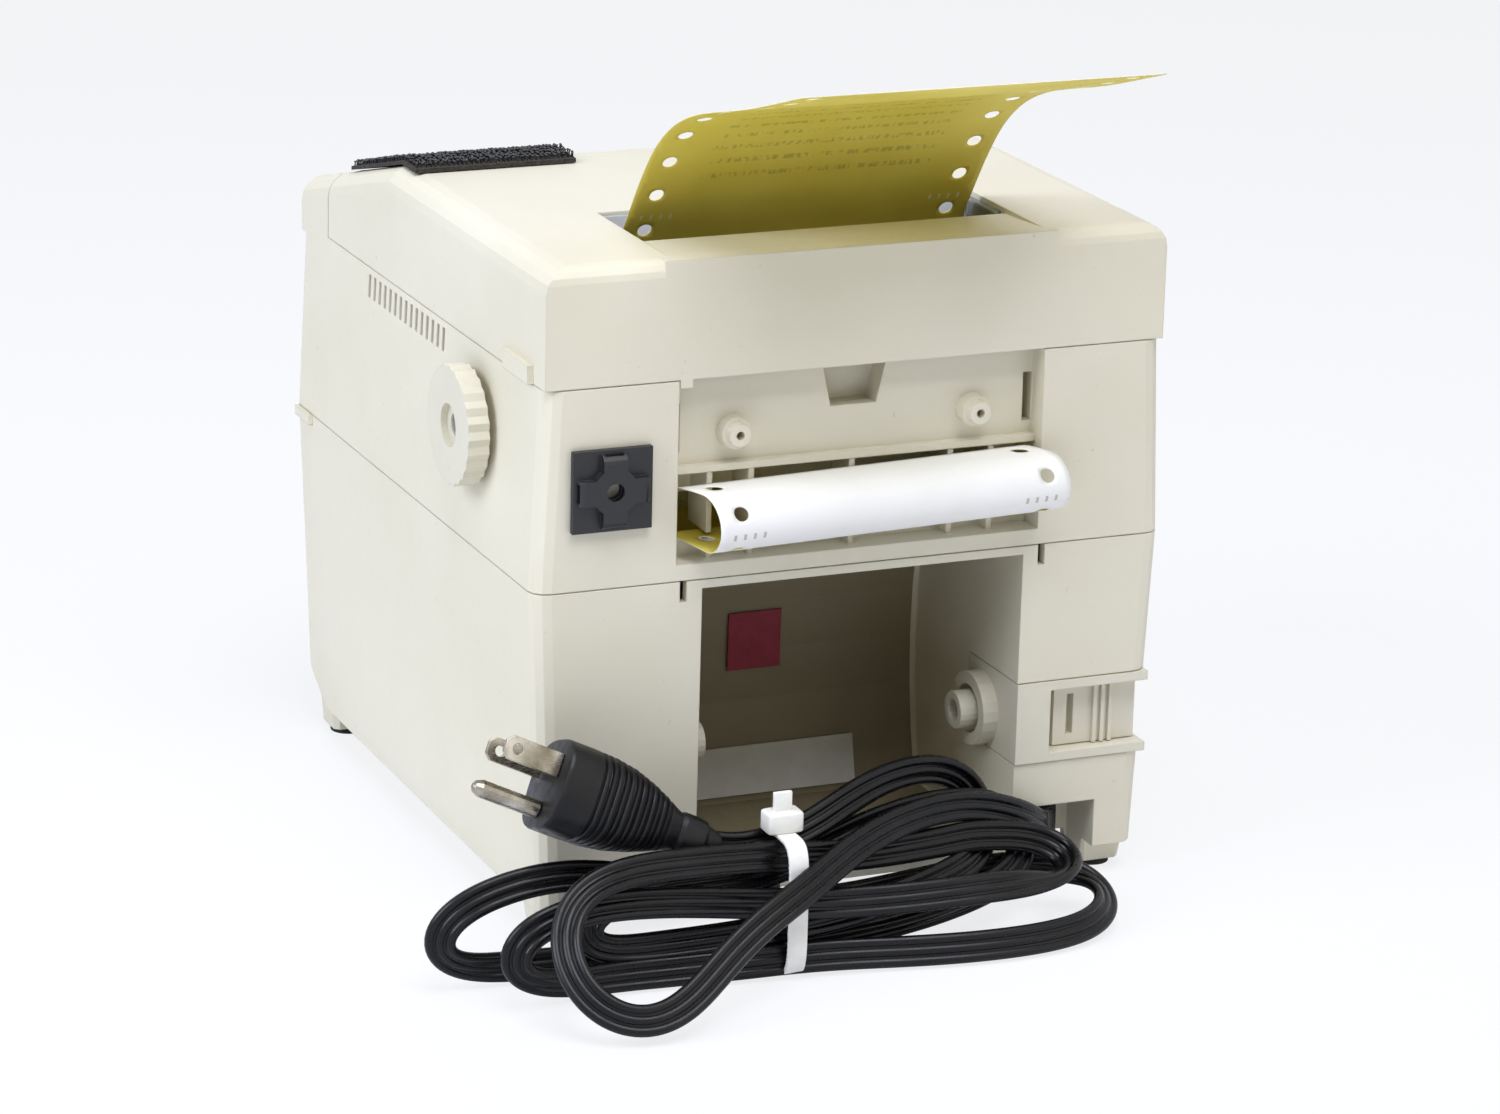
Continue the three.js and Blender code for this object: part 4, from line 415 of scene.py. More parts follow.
# The plug is moulded on: a blunt oval body of black vinyl with fine grip rings, a waist and a
# thick collar where the cord enters. Two flat blades and a round ground pin stand in its face.
plug_end = np.array([50.9, 128.0, 34.5])
plug_along = unit(np.array([0.9, -0.12, 0.42]))
plug_up = unit(np.cross(plug_along, np.array([-0.05, 0.94, 0.34])))
plug_across = np.cross(plug_up, plug_along)
ring_pitch, ring_depth, ring_crest = 1.9, 0.75, 1.2
ring_start, ring_stop = 15, 41
plug_squareness = 0.72


def plug_skin():
    """Blunt ovals along the plug, their half widths read between stations; from 15 to 41 mm the
    grip rings take up to 0.75 mm off, as a wave with a flat crest."""
    stations = np.array(
        [
            (0, 4.3, 3.2), (0.8, 4.5, 3.6), (4, 5.0, 4.6), (5, 5.5, 5.4), (8, 5.7, 5.7),
            (11, 5.7, 5.7), (12.2, 5.0, 5.2), (14, 5.9, 5.9), (18, 8.1, 7.7), (23, 10.4, 9.6),
            (29, 12.3, 11.3), (35, 13.2, 12.2), (42, 13.4, 12.4), (49, 13.4, 12.4),
            (49.7, 13.1, 12.1), (50, 12.5, 11.5),
        ]
    )
    steps = np.unique(np.concatenate([np.linspace(0, 49, 246), stations[:, 0]]))
    half_across = np.interp(steps, stations[:, 0], stations[:, 1])
    half_up = np.interp(steps, stations[:, 0], stations[:, 2])
    wave = 0.9 - np.cos(2 * np.pi * (steps - ring_start) / ring_pitch)
    wave = np.clip(wave, 0, ring_crest) / ring_crest
    groove = ring_depth * (1 - wave) * ((steps > ring_start + 0.5) & (steps < ring_stop))
    angle = np.linspace(0, 2 * np.pi, 64, endpoint=False)
    a, b = (np.sign(f(angle)) * abs(f(angle)) ** plug_squareness for f in (np.cos, np.sin))
    rows = steps[:, None, None] * plug_along
    rows = rows + np.outer(half_across - groove, a)[..., None] * plug_across
    rows = rows + np.outer(half_up - groove, b)[..., None] * plug_up
    return plug_end + rows


plug = skin("plug_moulding", placed(plug_skin()), round_columns=True, caps=True)
vinyl = Finish("plug_vinyl", 0.4)
vinyl.shader.inputs["Specular IOR Level"].default_value = 0.28
vinyl.colour(vinyl.ramp(vinyl.noise(90, 4), (0.35, "070708"), (0.7, "0e0e10"), (0.85, "1a1a1c")))
vinyl.rough(vinyl.noise(300, 4), 0.3, 0.52).relief(vinyl.noise(1800, 2), 0.3, 0.0001)
vinyl.on(plug)
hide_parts("plug_body")
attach(plug, "case")

# The prongs are brass strip and rod plated with nickel, dulled and scratched along their length
# where they have been pushed into sockets.
prong = Finish("prong_plating", 0.3, 1.0)
worn_nickel = ((0.3, "6e6655"), (0.55, "a49e90"), (0.75, "c8c3b8"))
prong.colour(prong.ramp(prong.noise(120, 5), *worn_nickel))
prong.rough(prong.noise(500, 5, (1, 1, 9)), 0.16, 0.4)
prong.relief(prong.noise(2400, 3, (1, 1, 12)), 0.2, 0.00005, edge=0.0003)
prong_names = ("plug_blade_one", "plug_blade_two", "plug_ground_pin")
prong.on(*(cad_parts[name] for name in prong_names))

# The cable tie is translucent white nylon: a ribbed band round the waist of the bundle, a square
# head on top with the pawl's slot, and the cut end of the band standing out of the head.
tie_middle_x = 33.5
tie_y = (125.8, 145.4)
tie_z = (0.9, 38.6)
tie_squareness = 0.42
tooth_count, tooth_depth = 60, 0.12
tie_head_box = ((28.4, 129.2, 38.5), (38.6, 136.2, 44.2))
tie_end_box = ((30.9, 132.0, 43.8), (36.1, 133.4, 49.4))


def tie_band():
    """A flat band round a blunt oval in y and z; its inner face has the ladder of the teeth."""
    angle = np.linspace(0, 2 * np.pi, 180, endpoint=False)
    y, z = (np.sign(f(angle)) * abs(f(angle)) ** tie_squareness for f in (np.cos, np.sin))
    middle = np.array([tie_middle_x, sum(tie_y) / 2, sum(tie_z) / 2])
    half = np.array([tie_y[1] - tie_y[0], tie_z[1] - tie_z[0]]) / 2
    tooth = tooth_depth * np.sign(np.sin(angle * tooth_count))
    # The band's section: places across it, and how far inside the outer face.
    outer = [(-2.7, 0.2), (-2.5, 0), (2.5, 0), (2.7, 0.2)]
    inner = [(2.7, 0.9), (2.5, 1.1), (-2.5, 1.1), (-2.7, 0.9)]
    rings = []
    for x, inwards in outer + inner:
        shrink = inwards + (tooth if inwards > 0.5 else 0)
        rim_y = middle[1] + y * (half[0] - shrink)
        rim_z = middle[2] + z * (half[1] - shrink)
        rings.append(np.stack([np.full_like(y, middle[0] + x), rim_y, rim_z], -1))
    return np.stack(rings, 1)


def rounded_block(low, high, corner, bulge=0.28):
    """A box with soft corners: a blunt oval tube along z whose rings draw in near both ends."""
    low, high = np.asarray(low, float), np.asarray(high, float)
    middle, half = (low + high) / 2, (high - low) / 2
    turn = np.linspace(-np.pi / 2, np.pi / 2, 8)
    lower = np.sin(turn[:4]) * corner - half[2] + corner
    upper = np.sin(turn[4:]) * corner + half[2] - corner
    rise = np.concatenate([lower, upper])
    draw = corner * (1 - np.cos(turn))
    angle = np.linspace(0, 2 * np.pi, 40, endpoint=False)
    a, b = (np.sign(f(angle)) * abs(f(angle)) ** bulge for f in (np.cos, np.sin))
    across, along = np.outer(half[0] - draw, a), np.outer(half[1] - draw, b)
    return middle + np.stack([across, along, np.outer(rise, np.ones_like(angle))], -1)


def joined_piece(name, *parts):
    """One piece out of several closed skins."""
    work = bmesh.new()
    for part in parts:
        work.from_mesh(part.data)
    mesh = bpy.data.meshes.new(name)
    work.to_mesh(mesh)
    work.free()
    for part in parts:
        bpy.data.objects.remove(part)
    piece = bpy.data.objects.new(name, mesh)
    bpy.context.scene.collection.objects.link(piece)
    return piece


tie_head = placed(rounded_block(*tie_head_box, 0.8))
tie_end = placed(rounded_block(*tie_end_box, 0.3))
tie = joined_piece(
    "nylon_tie",
    skin("tie_band", placed(tie_band()), round_columns=True, round_rows=True),
    skin("tie_head", tie_head, round_columns=True, caps=True),
    skin("tie_end", tie_end, round_columns=True, caps=True),
)
nylon = Finish("tie_nylon", 0.35)
nylon.colour(nylon.ramp(nylon.noise(140, 3), (0.3, "e6e4da"), (0.7, "f4f3ec")))
nylon.rough(nylon.noise(600, 2), 0.28, 0.45).relief(nylon.noise(1400, 2), 0.15, 0.00006)
nylon.shader.inputs["Subsurface Weight"].default_value = 0.3
nylon.shader.inputs["Subsurface Radius"].default_value = (0.002, 0.002, 0.0018)
nylon.on(tie)
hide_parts("cable_tie")
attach(tie, "case")

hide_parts("cord_lead", "cord_hank", "cord_tail")
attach(cord, "case")

# The form is one sheet of carbonless continuous paper, white on one side and yellow on the other,
# with half inch sprocket holes along both edges. The pin wheels hold it; both its ends are free.
pitch = 12.7
hole_radius = 2.0
form_half = 50.8
hole_line = 44.45
face_lift = 0.1
drift = 0.0575
curl_drift = 5.5
curl_length = 50
tilt_length, tilt_sides, tilt_middle = 15, 1.3, 0.3
wheel_radius = 8 * pitch / (2 * np.pi)
wheel_touch = (68.17, 133.5)
start_heading = 6
way_step = 0.25
degree = np.pi / 180
form_stretches = [
    # The lower free end, the curl, back in, and through the throat up to the pin wheels.
    (10, -6), (7.9 * np.pi, -180), (15.8, 0), (6 * degree * 57.9, 57.9),
    (10 * degree * 147.9, -147.9), (20.9, 0),
    # Round the pin wheels and up to the exit.
    (wheel_radius * degree * 30, 30), (20.7, 0), (24.5 * degree * 60, -60),
]
free_turns = [1, 6, 15, 14, 9, 2, -2, -2, 0, 0]  # past the exit, one for each hole pitch
exit_length = sum(length for length, _ in form_stretches)
wheel_contact = sum(length for length, _ in form_stretches[:6])
form_stretches += [(pitch, -turn) for turn in free_turns]


def form_way():
    """The sheet's way in y and z from its lower free end: every quarter millimetre a step in the
    heading, which changes evenly along each stretch. It is shifted so that it meets the wheel."""
    ends = np.cumsum([0] + [length for length, _ in form_stretches])
    turned = np.radians(np.cumsum([start_heading] + [turn for _, turn in form_stretches]))
    middles = np.arange(way_step / 2, ends[-1], way_step)
    heading = np.interp(middles, ends, turned)
    steps = way_step * np.stack([np.cos(heading), np.sin(heading)], -1)
    walk = np.vstack([[0, 0], np.cumsum(steps, axis=0)])
    at = np.arange(len(walk)) * way_step
    touch = np.array([np.interp(wheel_contact, at, walk[:, k]) for k in (0, 1)])
    return at, walk + wheel_touch - touch, np.interp(at, ends, turned)


way_at, way_points, way_heading = form_way()
first_row = exit_length % pitch
row_count = int((way_at[-1] - first_row - pitch / 2) / pitch) + 1


def on_the_form(x, s, lift):
    """The place of a point of the flat sheet, x across and s along, raised by lift from its middle
    towards the white face. Past the exit the sheet drifts sideways. The curl of its lower end
    stands out to the right by half a sine, and hangs lower on the left."""
    y, z, heading = (
        np.interp(s, way_at, values) for values in (way_points[:, 0], way_points[:, 1], way_heading)
    )
    past = np.maximum(0, s - exit_length)
    curl = np.clip(curl_length - s, 0, curl_length)
    tilt = np.clip(curl / tilt_length, 0, 1) * (tilt_sides * x / form_half - tilt_middle)
    sideways = past * drift + curl_drift * np.sin(np.pi * curl / curl_length)
    outwards, upwards = -lift * np.sin(heading), lift * np.cos(heading)
    return np.stack([x - sideways, y + outwards, z + upwards - tilt], -1)


def form_cells():
    """The flat sheet as points and faces. Each half inch square at an edge has a round hole in its
    middle, joined to the square's sides by three rings; plain squares fill the sheet between."""
    per_side, plain_squares = 6, 6
    t, full = np.linspace(-1, 1, per_side + 1)[:-1], np.ones(per_side)
    sides_round = [(t, -full), (full, t), (-t, full), (-full, -t)]
    square = np.concatenate([np.stack(side, -1) for side in sides_round]) * pitch / 2
    circle = square / np.linalg.norm(square, axis=1, keepdims=True) * hole_radius
    rings = np.stack([circle * (1 - k) + square * k for k in (0, 0.25, 0.6, 1)])
    count = square.shape[0]
    i, j = np.meshgrid(np.arange(3), np.arange(count), indexing="ij")
    j2 = (j + 1) % count
    ring_faces = [i * count + j, (i + 1) * count + j, (i + 1) * count + j2, i * count + j2]
    ring_faces = np.stack(ring_faces, -1).reshape(-1, 4)
    places = [(side, row) for row in range(row_count) for side in (-1, 1)]
    middles = np.array([(side * hole_line, first_row + row * pitch) for side, row in places])
    edge_points = (middles[:, None, None] + rings[None]).reshape(-1, 2)
    firsts = np.arange(len(middles))[:, None, None] * rings.shape[0] * count
    edge_faces = (firsts + ring_faces[None]).reshape(-1, 4)
    columns = np.linspace(-1, 1, plain_squares * per_side + 1) * (hole_line - pitch / 2)
    rows = first_row - pitch / 2 + np.arange(row_count * per_side + 1) * pitch / per_side
    x, s = np.meshgrid(columns, rows)
    i, j = np.meshgrid(np.arange(len(rows) - 1), np.arange(len(columns) - 1), indexing="ij")
    here, above = i * len(columns) + j, (i + 1) * len(columns) + j
    field = np.stack([here, here + 1, above + 1, above], -1)
    field = field.reshape(-1, 4) + len(edge_points)
    points = np.vstack([edge_points, np.stack([x.ravel(), s.ravel()], -1)])
    points[:, 1] = np.clip(points[:, 1], 0, way_at[-1])
    return points, np.vstack([edge_faces, field])


def form_sheet():
    """Both faces of the sheet, a tenth of a millimetre apart on each side of its middle, and the
    rim between them. An attribute is 1 on the white face and 0 on the yellow one."""
    flat, faces = form_cells()
    work = bmesh.new()
    for x, s in flat:
        work.verts.new((x, s, 0))
    work.verts.ensure_lookup_table()
    for face in faces:
        work.faces.new([work.verts[k] for k in face])
    bmesh.ops.remove_doubles(work, verts=work.verts, dist=1e-4)
    bmesh.ops.recalc_face_normals(work, faces=work.faces)
    work.normal_update()
    if sum(face.normal.z for face in work.faces) < 0:
        bmesh.ops.reverse_faces(work, faces=work.faces)
    work.verts.index_update()
    flat = np.array([v.co[:2] for v in work.verts])
    tops = [[v.index for v in face.verts] for face in work.faces]
    rims = [
        (loop.vert.index, loop.link_loop_next.vert.index)
        for edge in work.edges if len(edge.link_loops) == 1 for loop in edge.link_loops
    ]
    work.free()
    count = len(flat)
    lifts = (face_lift, -face_lift)
    points = np.vstack([on_the_form(flat[:, 0], flat[:, 1], lift) for lift in lifts])
    under = [[k + count for k in face[::-1]] for face in tops]
    edges = [(b, a, a + count, b + count) for a, b in rims]
    mesh = bpy.data.meshes.new("paper_sheet")
    mesh.from_pydata(placed(points).tolist(), [], tops + under + edges)
    side = mesh.attributes.new("white_side", "FLOAT", "FACE")
    side.data.foreach_set("value", np.repeat([1.0, 0.0, 0.5], [len(tops), len(under), len(edges)]))
    uv = mesh.uv_layers.new(name="flat_sheet")
    corner = np.zeros(len(mesh.loops), np.int32)
    mesh.loops.foreach_get("vertex_index", corner)
    uv.data.foreach_set("uv", (flat[corner % count] / (2 * form_half)).ravel())
    mesh.polygons.foreach_set("use_smooth", np.ones(len(mesh.polygons), bool))
    piece = bpy.data.objects.new("paper_sheet", mesh)
    bpy.context.scene.collection.objects.link(piece)
    return piece


form = form_sheet()
stock = Finish("form_stock", 0.62)
side = stock.node("Attribute", attribute_name="white_side").outputs["Fac"]
fibre = stock.noise(1900, 4)
tone = stock.noise(26, 3)
yellow = stock.ramp(tone, (0.3, "d3c044"), (0.7, "e4d460"))
white = stock.ramp(tone, (0.3, "f2f1ea"), (0.7, "fbfaf5"))
flat_uv = stock.node("UVMap", uv_map="flat_sheet").outputs["UV"]
flat_place = stock.join(flat_uv, stock.node("SeparateXYZ"), "Vector")
from_middle = stock.calc("MULTIPLY", flat_place.outputs["X"], 2 * form_half)
from_edge = stock.calc("SUBTRACT", form_half, stock.calc("ABSOLUTE", from_middle))
up_sheet = stock.calc("MULTIPLY", flat_place.outputs["Y"], 2 * form_half)
crimp_pitch, crimp_half_wide, crimp_half_long = 2.8, 0.38, 0.9
first_crimp, crimp_zone = 4.2, (3.6, 13.4)  # from the sheet's edge
crimp_row_low = 25  # from the sheet's lower end
crimp_row_high = exit_length + 4.5
ghost_half_pitch, ghost_row_from, ghost_margin = 2.9, 2.0, 17
ghost_zone = (176, 232)  # from the sheet's lower end


def between(value, low, high):
    """One where the value lies between low and high, and zero elsewhere."""
    over, under = stock.calc("GREATER_THAN", value, low), stock.calc("LESS_THAN", value, high)
    return stock.calc("MULTIPLY", over, under)


def crimps(at):
    """Four slits side by side, 2.8 mm apart, pressed through the sheet near each edge."""
    off_row = stock.calc("ABSOLUTE", stock.calc("SUBTRACT", up_sheet, at))
    in_row = stock.calc("LESS_THAN", off_row, crimp_half_long)
    from_first = stock.calc("SUBTRACT", from_edge, first_crimp)
    off_slit = stock.calc("PINGPONG", from_first, crimp_pitch / 2)
    slits = stock.calc("LESS_THAN", off_slit, crimp_half_wide)
    row = stock.calc("MULTIPLY", in_row, slits)
    return stock.calc("MULTIPLY", row, between(from_edge, *crimp_zone))


def ghost_rows():
    """Faint broken bands across the yellow side, a soft show-through without any letters."""
    wave = stock.calc("PINGPONG", up_sheet, ghost_half_pitch)
    rows = stock.calc("GREATER_THAN", wave, ghost_row_from)
    broken = stock.node("TexNoise", noise_dimensions="2D")
    broken.inputs["Scale"].default_value = 26
    broken.inputs["Detail"].default_value = 5
    stretched = stock.node("Mapping")
    stretched.inputs["Scale"].default_value = (3.2, 1.1, 1)
    stock.join(flat_uv, stretched, "Vector")
    stock.join(stretched.outputs["Vector"], broken, "Vector")
    inside = stock.calc("GREATER_THAN", from_edge, ghost_margin)
    dots = stock.span(broken.outputs["Fac"], 0.47, 0.6, 0, 0.34)
    marks = stock.calc("MULTIPLY", rows, dots)
    field = stock.calc("MULTIPLY", inside, between(up_sheet, *ghost_zone))
    return stock.calc("MULTIPLY", marks, field)


yellow = stock.blend(ghost_rows(), yellow, ink("55502a"))
pressed = stock.calc("MAXIMUM", crimps(crimp_row_low), crimps(crimp_row_high))
faces = stock.blend(side, yellow, white)
slit_tone = stock.blend(side, ink("f2ecc4"), ink("8d8a78"))
stock.colour(stock.blend(stock.calc("MULTIPLY", pressed, 0.6), faces, slit_tone))
stock.rough(fibre, 0.5, 0.7).relief(fibre, 0.2, 0.00004)
stock.on(form)
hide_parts("paper_form")
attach(form, "case")

# The case is injection moulded in warm ivory plastic with a fine spark-eroded grain. It has aged
# a little yellow, its edges are softly rounded, and painted shade darkens the walls of the roll
# bay. The base, the upper case and the cover are the CAD's own solids, as are all the pieces below
# but the pad.


def moulded(name, low, high, roughness=0.5, grain=1500, depth=0.00006, edge=0.0005, clouds=14):
    """Plastic between two near tones in soft clouds, with a fine grain and rounded edges."""
    finish = Finish(name, roughness)
    cloud = finish.noise(clouds, 4)
    tones = finish.ramp(cloud, (0.3, low), (0.7, high))
    specks = finish.ramp(finish.noise(420, 2), (0.2, "c9c4b4"), (0.27, "ffffff"))
    speckled = finish.blend(0.35, tones, specks, "MULTIPLY")
    finish.links.new(speckled, finish.shader.inputs["Base Color"])
    finish.rough(finish.noise(grain / 3, 3), roughness - 0.06, roughness + 0.06)
    finish.relief(finish.noise(grain, 2), 0.35, depth, edge)
    return finish


def painted_recess_shade(finish, across, deep, shade):
    """Painted shade on the walls of a recess: a soft darkening between two places across the case
    and from its mouth inwards, over the colour that the plastic has elsewhere."""
    place = finish.node("SeparateXYZ")
    finish.join(finish.place, place, "Vector")
    middle, half = sum(across) / 2, (across[1] - across[0]) / 2
    off_middle = finish.calc("ABSOLUTE", finish.calc("SUBTRACT", place.outputs["X"], middle))
    within = finish.calc("LESS_THAN", off_middle, half)
    inwards = finish.span(place.outputs["Y"], deep[1], deep[0], 0, 1)
    behind = finish.calc("GREATER_THAN", place.outputs["Y"], 0.0)
    share = finish.calc("MULTIPLY", finish.calc("MULTIPLY", within, inwards), behind)
    plain = finish.shader.inputs["Base Color"].links[0].from_socket
    finish.colour(finish.blend(share, plain, finish.blend(1.0, plain, ink(shade), "MULTIPLY")))


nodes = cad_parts
ivory = moulded("case_ivory", "dcd6be", "e4dfca")
ivory.on(nodes["upper_case"], nodes["top_cover"])
# The base gets a copy of the ivory with painted shade. The colour a39c88 is multiplied into the
# walls of the roll bay, darkest inside and fading out towards its mouth at the rear face.
ivory_with_painted_bay_shade = moulded("base_ivory_painted_shade", "dcd6be", "e4dfca")
bay_shade_across = (-0.0505, 0.0431)  # metres across the case
bay_shade_depth = (0.060, 0.0745)  # metres in y, from where it is darkest out to the rear face
painted_recess_shade(ivory_with_painted_bay_shade, bay_shade_across, bay_shade_depth, "a39c88")
ivory_with_painted_bay_shade.on(nodes["base_case"])

# The feed knob, and the spindle block with its latch, spindle and opposite stub, are small
# mouldings in the same plastic, a little smoother. They push on or slide in the case.
small_ivory = moulded("small_ivory", "d6d1bb", "e0dbc7", 0.46, edge=0.00035)
small_parts = ("spindle_block", "latch_slider", "roll_spindle", "fixed_roll_stub", "feed_knob")
small_ivory.on(*(nodes[name] for name in small_parts))

# The hook fastener pad is a strip of black tape with rows of stiff hooks, stuck on the cover. It
# bends over the ridge of the top, and its cut edges show the brown felt of its backing.
pad_x = (38.0, 85.5)
pad_y = (-68.0, -12.0)
ridge_y = -24.0
top_z = 187.0
slope = 0.256
backing = 1.5
backing_gap = 0.35
hook_pitch = 1.35
hook_margins = (0.5, 0.4)
hook_heights = (1.35, 1.95)
hook_shift, hook_lean = 0.16, 0.35


def cover_top(y):
    """The height of the cover's top: level behind the ridge and falling evenly in front of it."""
    return top_z - slope * np.maximum(0, ridge_y - y)


def pad_backing():
    """A closed skin over the pad's outline, its lower face just off the cover."""
    y = np.unique(np.concatenate([np.linspace(*pad_y, 57), [ridge_y]]))
    fray = 0.12 * np.sin(y * 2.9) + 0.08 * np.sin(y * 7.7)
    rings = []
    for side, lift in ((0, backing_gap), (0, backing), (1, backing), (1, backing_gap)):
        x = np.full_like(y, pad_x[side]) + fray
        rings.append(np.stack([np.minimum(x, pad_x[1]), y, cover_top(y) + lift], -1))
    return np.stack(rings, 1)


def hook_field():
    """Every hook is a short bent stem with a wider head: five four-sided rings, leaning a little
    its own way. All stems are copies of one set of rings, shifted and scaled as whole arrays."""
    random = np.random.default_rng(7)
    columns, rows = (
        np.arange(low + hook_margins[0], high - hook_margins[1], hook_pitch)
        for low, high in (pad_x, pad_y)
    )
    x, y = (places.ravel() for places in np.meshgrid(columns, rows))
    x = x + random.uniform(-hook_shift, hook_shift, len(x))
    y = y + random.uniform(-hook_shift, hook_shift, len(y))
    tall = random.uniform(*hook_heights, len(x))
    lean = random.uniform(-hook_lean, hook_lean, (len(x), 2))
    rings = np.array([(0.0, 0.26), (0.5, 0.2), (0.72, 0.22), (0.85, 0.5), (1.0, 0.28)])
    turn = np.radians([45, 135, 225, 315])
    ring_x = rings[:, 1:] * np.cos(turn)
    ring_y = rings[:, 1:] * np.sin(turn)
    rise = np.repeat(rings[:, :1], 4, axis=1)
    px = x[:, None, None] + ring_x + lean[:, :1, None] * rise
    py = y[:, None, None] + ring_y + lean[:, 1:, None] * rise
    pz = cover_top(y)[:, None, None] + backing - 0.1 + rise * tall[:, None, None]
    points = np.stack([np.clip(px, *pad_x), np.clip(py, *pad_y), pz], -1).reshape(-1, 3)
    i, j = np.meshgrid(np.arange(4), np.arange(4), indexing="ij")
    j2 = (j + 1) % 4
    quads = np.stack([i * 4 + j, i * 4 + j2, (i + 1) * 4 + j2, (i + 1) * 4 + j], -1).reshape(-1, 4)
    lids = np.array([[3, 2, 1, 0], [16, 17, 18, 19]])
    one = np.vstack([quads, lids])
    faces = (np.arange(len(x))[:, None, None] * rise.size + one).reshape(-1, 4)
    return points, faces


felt = skin("pad_backing", placed(pad_backing()), round_columns=True, caps=True)
felt_finish = Finish("pad_felt", 0.9)
brown_felt = ((0.3, "15130f"), (0.62, "3a342b"), (0.8, "5b5245"))
felt_finish.colour(felt_finish.ramp(felt_finish.noise(900, 5), *brown_felt))
felt_finish.relief(felt_finish.noise(1600, 4), 0.7, 0.0003)
felt_finish.on(felt)
hook_points, hook_faces = hook_field()
hooks = mesh_piece("pad_hooks", placed(hook_points), hook_faces.tolist())
hook_nylon = Finish("hook_nylon", 0.42)
black_hooks = ((0.3, "0b0b0d"), (0.7, "1e1f22"))
hook_nylon.colour(hook_nylon.ramp(hook_nylon.noise(700, 2), *black_hooks))
hook_nylon.rough(hook_nylon.noise(1500, 2), 0.32, 0.55)
hook_nylon.on(hooks)
for piece in (felt, hooks):
    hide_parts("hook_pad")
    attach(piece, "cover")

# The feet are soft black rubber discs, matt and a little dusty. Each is glued under one of the
# four blocks that are moulded on the corners of the base.
soft_black = moulded("soft_black", "19191a", "242425", 0.75, 900, 0.0001, 0.0004)
soft_black.on(*(nodes[name] for name in nodes if name.startswith("foot")))

# The cable tie base is a square of black nylon, stuck on the rear pillar with foam tape. The pin
# wheels, carriage, belt, ribbon cassette, power switch and rocker are black mouldings too, held in
# the mechanism or snapped into the case.
black = moulded("black_plastic", "141416", "1f1f21", 0.42, 1800, 0.00004, 0.0003)
black_parts = (
    "tie_mount", "carriage", "carriage_belt", "ribbon_cassette", "pin_wheel_left",
    "pin_wheel_right", "switch_housing", "power_rocker",
)
black.on(*(nodes[name] for name in black_parts))

# The operator's panel is a dark grey moulding let into the front. Its two keys are light grey, like
# the plate in the paper exit; the head on the carriage is dark grey too.
dark = moulded("dark_plastic", "323132", "403f40", 0.48, 1600, 0.00005, 0.0003)
dark.on(nodes["control_panel"], nodes["print_head"])
grey = moulded("grey_plastic", "a3a4a3", "b2b3b1", 0.4, 1800, 0.00003, 0.0003)
grey.on(nodes["feed_button"], nodes["ready_button"], nodes["exit_plate"])

# The rods, shaft, side frames and tray of the mechanism are rolled or drawn steel, with fine lines
# of drawing along them. The motor's can, the transformer, the data connector's shell and the
# spindle's spring are bright metal too.
steel = Finish("bright_steel", 0.32, 1.0)
steel.colour(steel.ramp(steel.noise(60, 4), (0.3, "9fa0a2"), (0.7, "c4c5c6")))
steel.rough(steel.noise(900, 4, (0.05, 1, 1)), 0.22, 0.42)
steel.relief(steel.noise(2200, 3, (0.05, 1, 1)), 0.15, 0.00004, 0.0003)
steel_parts = (
    "mechanism_tray", "side_frame_left", "side_frame_right", "guide_rod_front",
    "guide_rod_rear", "platen_bar", "paper_guide", "feed_motor", "feed_shaft", "transformer",
    "data_connector", "spindle_spring",
)
steel.on(*(nodes[name] for name in steel_parts))

# The feed gear and its idler are cut in pale unfilled nylon. The motor's pinion and the two belt
# pulleys are turned in brass and pressed on their shafts.
gearing = Finish("gear_plastic", 0.4)
gearing.colour(gearing.ramp(gearing.noise(80, 3), (0.3, "d8d4c4"), (0.7, "ebe8dc")))
gearing.rough(gearing.noise(600, 3), 0.32, 0.5).relief(gearing.noise(1500, 2), 0.2, 0.00005, 0.0002)
gearing.on(nodes["feed_gear"], nodes["idler_gear"])
brass = Finish("turned_brass", 0.3, 1.0)
brass.colour(brass.ramp(brass.noise(90, 4), (0.3, "a88741"), (0.7, "cfae66")))
brass.rough(brass.noise(900, 4), 0.2, 0.42).relief(brass.noise(2200, 2), 0.15, 0.00004, 0.0002)
brass.on(*(nodes[name] for name in ("motor_pinion", "belt_pulley_left", "belt_pulley_right")))

# The main board is green glass and resin laminate, cut to a rectangle and screwed down in the
# base.
board = Finish("circuit_board", 0.5)
board.colour(board.ramp(board.noise(120, 4), (0.35, "1f4a2d"), (0.65, "2f6a41")))
board.rough(board.noise(500, 3), 0.4, 0.6).relief(board.noise(1200, 2), 0.3, 0.0001, 0.0003)
board.on(nodes["main_board"])

# The three lamps on the panel are glossy lenses of clear green plastic. They are one moulding,
# pushed in from behind.
lamp = Finish("lamp_lens", 0.2)
lamp.colour(lamp.ramp(lamp.noise(300, 2), (0.3, "2c7a3a"), (0.7, "49a559")))
lamp.rough(lamp.noise(500, 2), 0.12, 0.25)
lamp.on(nodes["status_lamps"])

# The clear guide beside the paper exit is a thin strip of polished acrylic. It keeps the edge of
# the form in line and shows the plastic behind it.
clear = Finish("clear_acrylic", 0.06)
clear.shader.inputs["Transmission Weight"].default_value = 0.9
clear.shader.inputs["IOR"].default_value = 1.49
clear.colour(clear.ramp(clear.noise(200, 2), (0.3, "e4e9ea"), (0.7, "f4f7f7")))
clear.rough(clear.noise(400, 3), 0.03, 0.12)
clear.on(nodes["clear_guide"])

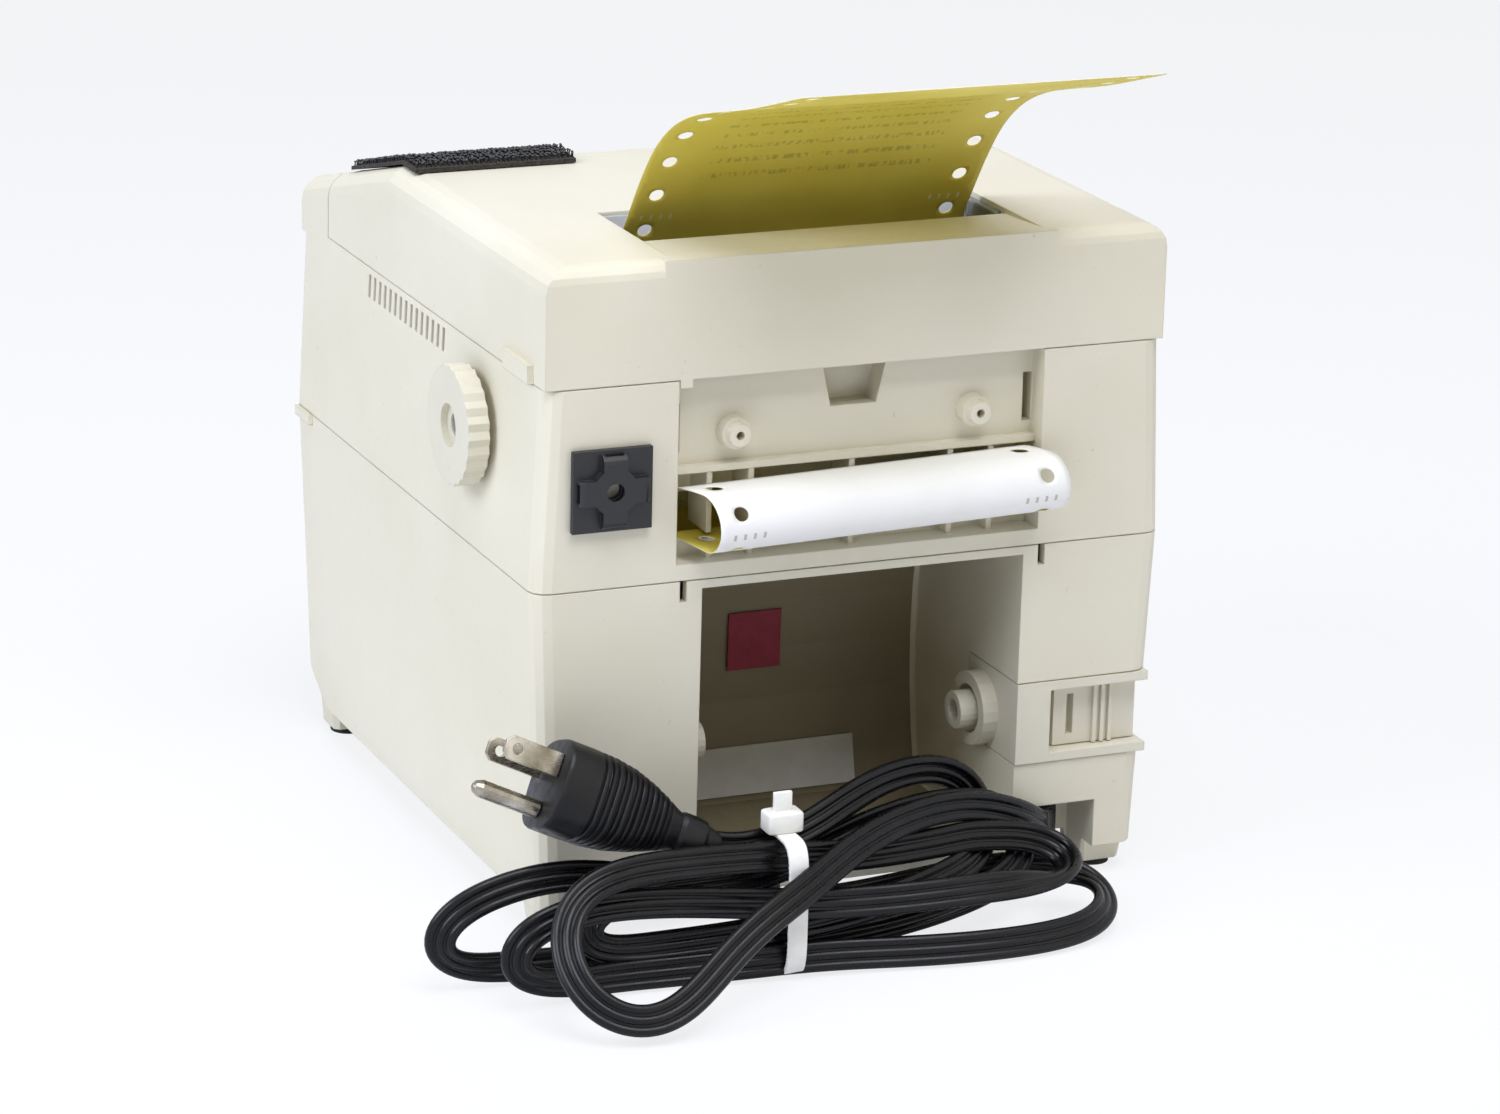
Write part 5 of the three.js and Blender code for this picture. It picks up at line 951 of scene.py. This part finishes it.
# Both labels on the back wall of the roll bay are blank vinyl stickers, one dark red and one
# white, a little rippled where they were pressed on.
red = Finish("red_sticker", 0.5)
red.colour(red.ramp(red.noise(160, 4), (0.3, "8e2237"), (0.7, "a32c41")))
red.rough(red.noise(700, 3), 0.4, 0.6).relief(red.noise(500, 3), 0.3, 0.0001)
red.on(nodes["red_label"])
sticker = Finish("white_sticker", 0.45)
sticker.colour(sticker.ramp(sticker.noise(120, 4), (0.3, "dad8d0"), (0.7, "e9e7e0")))
sticker.rough(sticker.noise(700, 3), 0.35, 0.55).relief(sticker.noise(500, 3), 0.2, 0.0001)
sticker.on(nodes["white_label"])

# The table is a plain white sweep, which keeps the printer's shadow and looks almost white to the
# camera.
reach = 6.0
floor_corners = [[[-reach, -reach, 0], [reach, -reach, 0]], [[-reach, reach, 0], [reach, reach, 0]]]
floor = skin("floor", np.array(floor_corners))
ground = Finish("white_sweep", 0.7)
shine = ground.node("Emission")
shine.inputs["Color"].default_value = (0.985, 0.99, 1.0, 1)
ray = ground.node("LightPath")
mixer = ground.node("MixShader")
paled = ground.calc("MULTIPLY", ray.outputs["Is Camera Ray"], 0.8)
ground.join(paled, mixer, "Fac")
ground.join(ground.shader.outputs[0], mixer, 1)
ground.join(shine.outputs[0], mixer, 2)
ground.shader.inputs["Base Color"].default_value = (0.86, 0.87, 0.89, 1)
ground.join(mixer.outputs[0], ground.nodes["Material Output"], "Surface")
ground.on(floor)

# The room lights the object a little from all sides. The camera, glossy surfaces and clear ones
# see it as a white studio.
world = bpy.data.worlds.new("room")
bpy.context.scene.world = world
world.use_nodes = True
sky = world.node_tree
room = sky.nodes["Background"]
room.inputs["Color"].default_value = (0.93, 0.96, 1.0, 1)
room.inputs["Strength"].default_value = 0.16
seen = sky.nodes.new("ShaderNodeBackground")
seen.inputs["Color"].default_value = (0.97, 0.98, 1.0, 1)
seen.inputs["Strength"].default_value = 1.0
path = sky.nodes.new("ShaderNodeLightPath")
sees_studio = path.outputs["Is Camera Ray"]
for kind in ("Is Glossy Ray", "Is Transmission Ray"):
    either = sky.nodes.new("ShaderNodeMath")
    either.operation = "MAXIMUM"
    sky.links.new(sees_studio, either.inputs[0])
    sky.links.new(path.outputs[kind], either.inputs[1])
    sees_studio = either.outputs[0]
choice = sky.nodes.new("ShaderNodeMixShader")
sky.links.new(sees_studio, choice.inputs["Fac"])
sky.links.new(room.outputs[0], choice.inputs[1])
sky.links.new(seen.outputs[0], choice.inputs[2])
sky.links.new(choice.outputs[0], sky.nodes["World Output"].inputs["Surface"])


def lamp_at(name, place, size, power, tint):
    """A square soft lamp that faces the middle of the printer, its size in metres."""
    light = bpy.data.lights.new(name, "AREA")
    light.size, light.energy, light.color = size, power, tint
    lamp_object = bpy.data.objects.new(name, light)
    lamp_object.location = place
    ahead = Vector(printer_middle) - Vector(place)
    lamp_object.rotation_euler = ahead.to_track_quat("-Z", "Y").to_euler()
    bpy.context.scene.collection.objects.link(lamp_object)


# Three soft lamps: a cool one on the left, a wide cool one overhead and behind, and a weak warm one
# low on the right.
printer_middle = (0, 0, 0.1)
lamp_at("key", (1.5, 0.2, 1.1), 1.0, 23.3, (0.80, 0.85, 1.0))
lamp_at("top", (0.0, 0.8, 1.9), 1.3, 37, (0.88, 0.89, 1.0))
lamp_at("low", (-1.2, 1.6, 0.7), 1.2, 3.5, (1.0, 0.93, 0.8))
bpy.context.scene.view_settings.view_transform = "Standard"

bpy.context.view_layer.update()
